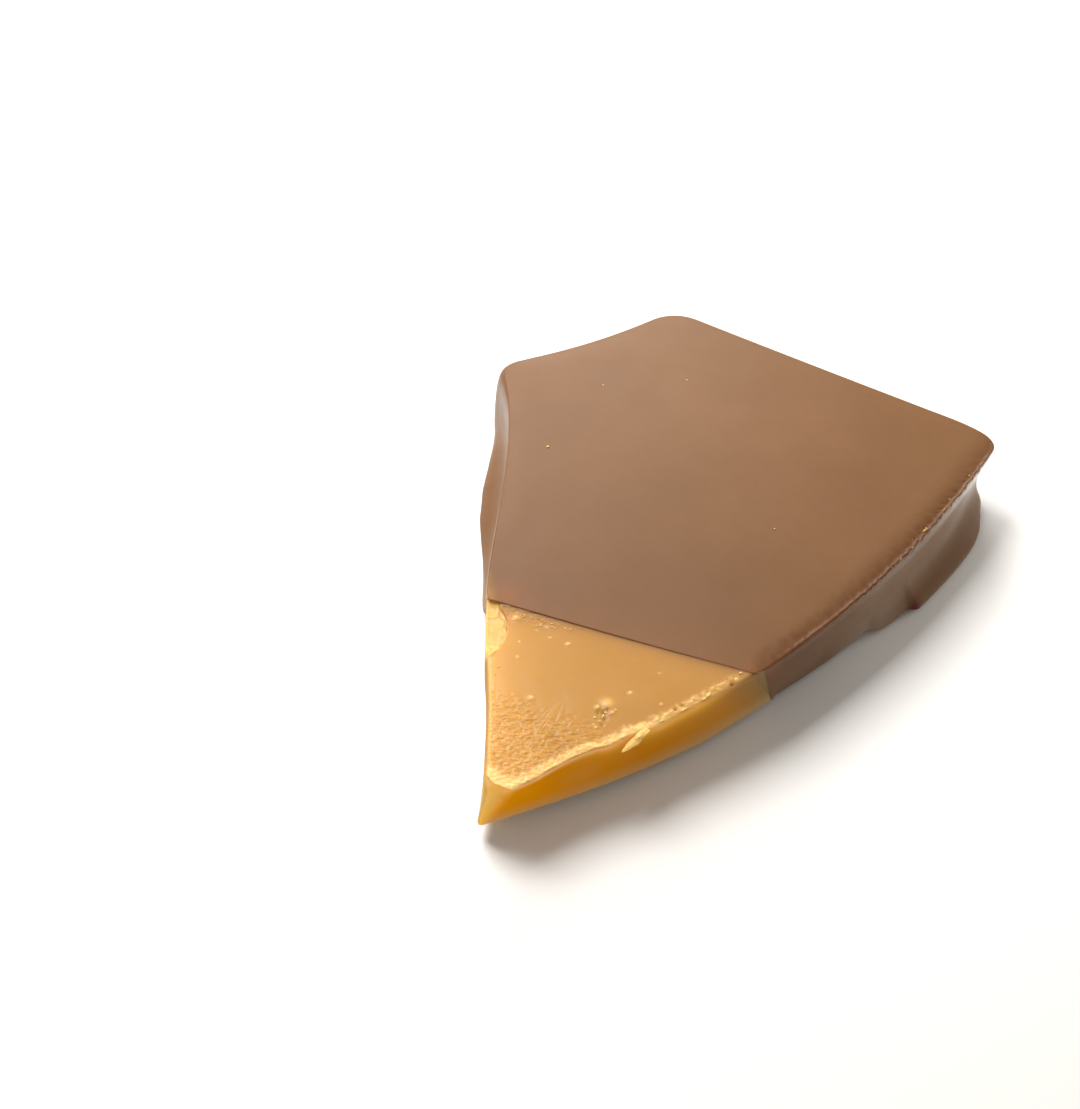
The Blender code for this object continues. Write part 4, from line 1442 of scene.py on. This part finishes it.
for share, finish, strength in (
    (low, TOFFEE_FLOOR_LIGHT, 0.82), (mask(tree, "glowing_top_band"), TOFFEE_TOP_BAND_GLOW, 0.95),
    (mask(tree, "tip"), TOFFEE_TIP_GLOW, 1.0),
    (mask(tree, "glow"), TOFFEE_GLOW, 0.8), (mask(tree, "rim"), TOFFEE_PALE_RIM_AND_HIGHLIGHT, 0.8),
    (mask(tree, "ledge"), TOFFEE_LEDGE, 0.9), (mask(tree, "shaded_left_face"), TOFFEE_LEFT_SHADE, 0.7),
    (mask(tree, "film"), TOFFEE_FILM, 0.95), (mask(tree, "scar"), TOFFEE_SCAR, 0.95),
    (mask(tree, "dark_pits"), TOFFEE_PIT_DARK, 0.7), (mask(tree, "crack"), TOFFEE_CRACK_AND_GROOVE_SHADE, 0.9),
):
    colour = tint(tree, colour, finish, times(tree, share, strength))
grain_depth = times_plus(tree, mask(tree, "sugar"), 2.8, 0.03)
shine = times_plus(tree, mask(tree, "up"), 0.14, 0.03)
tree.links.new(shine, shader.inputs["Coat Weight"])
toffee_shader(tree, shader, colour, grain_depth, 1.8, 0.75)
print("nodes in the hard toffee:", len(tree.nodes))

# %% Crumbs of toffee
CRUMB_LIGHT = (0.80, 0.52, 0.22, 1.0)
CRUMB_DARK = (0.64, 0.37, 0.12, 1.0)
FLAKE_LIGHT = (0.88, 0.55, 0.18, 1.0)
FLAKE_DARK = (0.78, 0.46, 0.13, 1.0)
BLISTER_LIGHT = (0.86, 0.58, 0.27, 1.0)
BLISTER_DARK = (0.58, 0.32, 0.10, 1.0)


def crumb_material(name, light, dark, shine):
    material, tree, shader = new_material(name)
    colour = place_group(tree, cloudy_colour, {
        "Light": light, "Dark": dark, "Size mm": 0.8, "Detail size mm": 0.2, "Detail share": 0.4,
    })["Color"]
    shader.inputs["Coat Weight"].default_value = shine
    toffee_shader(tree, shader, colour, 0.5, 0.4, 0.25)
    return material


crumb_finish = crumb_material("toffee_crumbs", CRUMB_LIGHT, CRUMB_DARK, 0.15)
flake_finish = crumb_material("toffee_flake", FLAKE_LIGHT, FLAKE_DARK, 0.15)
blister_finish = crumb_material("toffee_blister", BLISTER_LIGHT, BLISTER_DARK, 0.5)
print("materials:", [material.name for material in bpy.data.materials])

# %% [markdown]
# ## Crumbs, flakes and burrs
# The shard was broken and handled, and that leaves its marks: a blister with a few crumbs beside
# it, a ragged pale ridge along the broken edge, one thin flake that hangs over it, and torn bits
# of chocolate along the coat's edge. Each bit is a ball pushed about by noise and squashed. Balls
# are quick to make, closed, and never alike.

# %% Rough bits
rng = np.random.default_rng(11)


def bits(name, table, rough=0.3, grain=1.0, divisions=3, taper=0.0):
    """One object of rough bits: x, y, z, length, width, height, turn and tip for each."""
    mesh = bpy.data.meshes.new(name)
    model = bmesh.new()
    for index, (x, y, z, length, width, height, turn, tip) in enumerate(table):
        found = bmesh.ops.create_icosphere(model, subdivisions=divisions, radius=1.0)["verts"]
        turned = (Matrix.Translation((x, y, z)) @ Matrix.Rotation(math.radians(turn), 4, "Z")
                  @ Matrix.Rotation(math.radians(tip), 4, "Y"))
        for vertex in found:
            place = vertex.co * grain + Vector((index * 7.3, 1.7, 0.4))
            place = vertex.co * (1 + rough * noise.fractal(place, 1.0, 2.0, 3))
            narrow = 1 + taper * place.x
            place = Vector((place.x * length, place.y * width * narrow, place.z * height * narrow))
            vertex.co = (turned @ place) * MM
    model.to_mesh(mesh)
    model.free()
    made = bpy.data.objects.new(name, mesh)
    scene.collection.objects.link(made)
    return made


# %% Blister and crumbs
def between_ends(start, end, width, height):
    """A bit's row in the table, stretched from one end to the other."""
    start, end = np.array(start), np.array(end)
    along = end - start
    length = np.linalg.norm(along) / 2
    turn = math.degrees(math.atan2(along[1], along[0]))
    tip = -math.degrees(math.asin(along[2] / (2 * length)))
    return (*((start + end) / 2), length, width, height, turn, tip)


blister = bits("blister", (
    (-16.85, -23.85, 8.84, 0.55, 0.22, 0.06, 5, 0), (-17.75, -23.9, 8.85, 0.30, 0.18, 0.08, 25, 5),
    (-16.3, -24.55, 8.83, 0.30, 0.13, 0.08, 25, 0), (-17.3, -24.9, 8.77, 0.22, 0.12, 0.06, 70, 0),
    (-18.05, -26.25, 8.74, 0.22, 0.11, 0.06, 10, 0), (-18.1, -25.05, 8.79, 0.17, 0.10, 0.06, 50, 0),
    (-17.6, -25.5, 8.75, 0.15, 0.10, 0.06, 0, 0), (-17.0, -24.45, 8.79, 0.18, 0.11, 0.06, 0, 0),
), rough=0.6, grain=1.3)
crumbs = bits("crumbs", (
    (-11.3, -25.45, 8.90, 0.46, 0.26, 0.16, 28, 0), (-10.5, -25.0, 8.90, 0.20, 0.16, 0.12, 40, 0),
    (-2.95, -19.75, 9.34, 0.22, 0.14, 0.16, 40, 20),
), rough=0.5, grain=1.6)

# %% [markdown]
# ### Tiny beads
# Two rows of beads, one before the dip line and one along the left edge. A seeded random number
# spreads them, so that each run of the script gives the same shard.

# %% Tiny beads
BEADS_BY_DIP, BEADS_ON_LEFT = 34, 16

bead_table = []
for step in range(BEADS_BY_DIP):
    x = -26.2 + 5.6 * step / (BEADS_BY_DIP - 1) + rng.normal(0, 0.2)
    line = DIP_LEFT[1] + (x - DIP_LEFT[0]) * dip_along[1] / dip_along[0]
    arch = math.sin(math.pi * step / (BEADS_BY_DIP - 1))
    y = line - rng.uniform(0.25, 0.55 + 0.9 * arch)
    size = rng.uniform(0.5, 1.4)
    bead_table.append((x, y, 9.0, 0.10 * size, 0.055 * size, 0.045 * size, rng.normal(0, 15), 0))
for step in range(BEADS_ON_LEFT):
    y = -15.5 - 14.0 * step / (BEADS_ON_LEFT - 1) + rng.normal(0, 0.3)
    x = -29.3 + rng.uniform(0.35, 1.9)
    size = rng.uniform(0.6, 1.3)
    z = float(slab_top(x, y))
    bead_table.append((x, y, z, 0.14 * size, 0.045 * size, 0.04 * size, rng.normal(0, 10), 0))
tiny_beads = bits("tiny_beads", bead_table, rough=0.1, divisions=2)
print("tiny beads:", len(bead_table))

# %% [markdown]
# ### Ridge and flake
# The ridge is a row of flat splinters that lie along the broken edge. The flake is two long bits,
# one hanging over the side and one lying on the top, which overlap where it folds.

# %% Broken ridge and hanging flake
RIDGE_BITS = 11
RIDGE_INWARDS = np.array((-0.58, 0.81))

ridge_table = []
for step in range(RIDGE_BITS):
    station = 0.262 + 0.108 * step / (RIDGE_BITS - 1) + rng.normal(0, 0.003)
    inset = float(at_station(FRONT_SLOPE, station)) + rng.uniform(0.35, 0.9)
    place = edge_points(0, [station])[0] + RIDGE_INWARDS * inset
    z = float(slab_top(*place)) + float(at_station(RIM_HEIGHT, station)) * 0.5
    ridge_table.append((
        place[0], place[1], z, rng.uniform(0.25, 0.55), rng.uniform(0.09, 0.16),
        rng.uniform(0.02, 0.04), 33 + rng.uniform(-25, 25), rng.uniform(-4, 4),
    ))
ridge = bits("broken_ridge", ridge_table, rough=0.5, grain=1.6)
flake = bits("hanging_flake", (
    between_ends((-15.35, -28.55, 8.0), (-13.4, -27.0, 8.8), 0.46, 0.10),
    between_ends((-14.2, -27.5, 8.7), (-12.8, -26.4, 8.92), 0.44, 0.10),
), rough=0.36, grain=1.45, divisions=4, taper=0.42)

# %% Bits of chocolate
TORN_BITS, TORN_HEIGHT = 32, 9.86
TORN_INWARDS = np.array((-0.66, 0.75))

torn_table = []
for step in range(TORN_BITS):
    station = 0.69 + 0.21 * rng.random()
    inset = 0.05 + 0.9 * rng.random() ** 2
    place = edge_points(0, [station])[0] + TORN_INWARDS * inset
    on_bead = bead_at(np.array([station]))[0] * at_station(BEAD_SECTION, np.array([inset]))[0]
    z = TORN_HEIGHT + float(on_bead)
    torn_table.append((
        place[0], place[1], z, 0.08 + 0.30 * rng.random() ** 2, rng.uniform(0.04, 0.09),
        rng.uniform(0.02, 0.04), 50 + rng.uniform(-30, 50), rng.uniform(-8, 8),
    ))
for place in ((13.2, -7.65), (14.8, -5.9), (15.2, -5.5)):
    torn_table.append((place[0], place[1], 9.95, 0.24, 0.07, 0.12, 70, 40))
torn_edge = bits("torn_edge", torn_table, rough=0.5, grain=1.8)
specks = bits("pale_specks", (
    (-22.8, 11.5, 9.97, 0.16, 0.11, 0.04, 20, 0), (-5.9, 23.0, 9.97, 0.11, 0.10, 0.04, 0, 0),
    (-16.1, 21.9, 9.97, 0.09, 0.08, 0.03, 0, 0), (2.4, -0.5, 9.97, 0.09, 0.07, 0.03, 0, 0),
    (19.2, -0.4, 9.96, 0.28, 0.08, 0.06, 50, 0), (19.5, -0.05, 9.96, 0.14, 0.07, 0.06, -20, 0),
    (22.0, 2.8, 9.92, 0.16, 0.06, 0.05, 60, 0), (25.8, 8.1, 9.92, 0.12, 0.06, 0.05, 60, 0),
), rough=0.4)
print("bits:", len(ridge_table), "in the ridge,", len(torn_table), "on the torn edge")

# %% [markdown]
# ## Dress the pieces
# Each piece gets its material, a smooth shading and the body it rides on. The toffee and the coat
# take the place of the two solids, which are hidden.

# %% Dress the toffee and the coat
def dress(made, material):
    """The finish, the shading and the body of one piece."""
    made.data.materials.clear()
    made.data.materials.append(material)
    made.data.shade_smooth()
    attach(made, "root")


dress(toffee, toffee_finish)
dress(coat, chocolate)
dress(crumbs, crumb_finish)
for bit in (ridge, flake):
    dress(bit, flake_finish)
for bit in (blister, tiny_beads):
    dress(bit, blister_finish)
dress(torn_edge, torn_finish)
dress(specks, crumb_finish)
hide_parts("toffee")
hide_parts("milk_chocolate")

# %% [markdown]
# ## The floor
# A plain white sweep. It is a single large sheet, so its far edge shows only from low down, as a
# distant horizon.

# %% Floor
FLOOR_SIZE = 4.0
FLOOR_WHITE = (0.86, 0.855, 0.845, 1.0)

mesh = bpy.data.meshes.new("floor")
half = FLOOR_SIZE / 2
mesh.from_pydata([(-half, -half, 0), (half, -half, 0), (half, half, 0), (-half, half, 0)], [],
                 [(0, 1, 2, 3)])
floor = bpy.data.objects.new("floor", mesh)
scene.collection.objects.link(floor)
paper, tree, shader = new_material("white_sweep", roughness=0.9)
shader.inputs["Base Color"].default_value = FLOOR_WHITE
shader.inputs["Specular IOR Level"].default_value = 0.1
floor.data.materials.append(paper)
print("floor:", FLOOR_SIZE, "m wide")
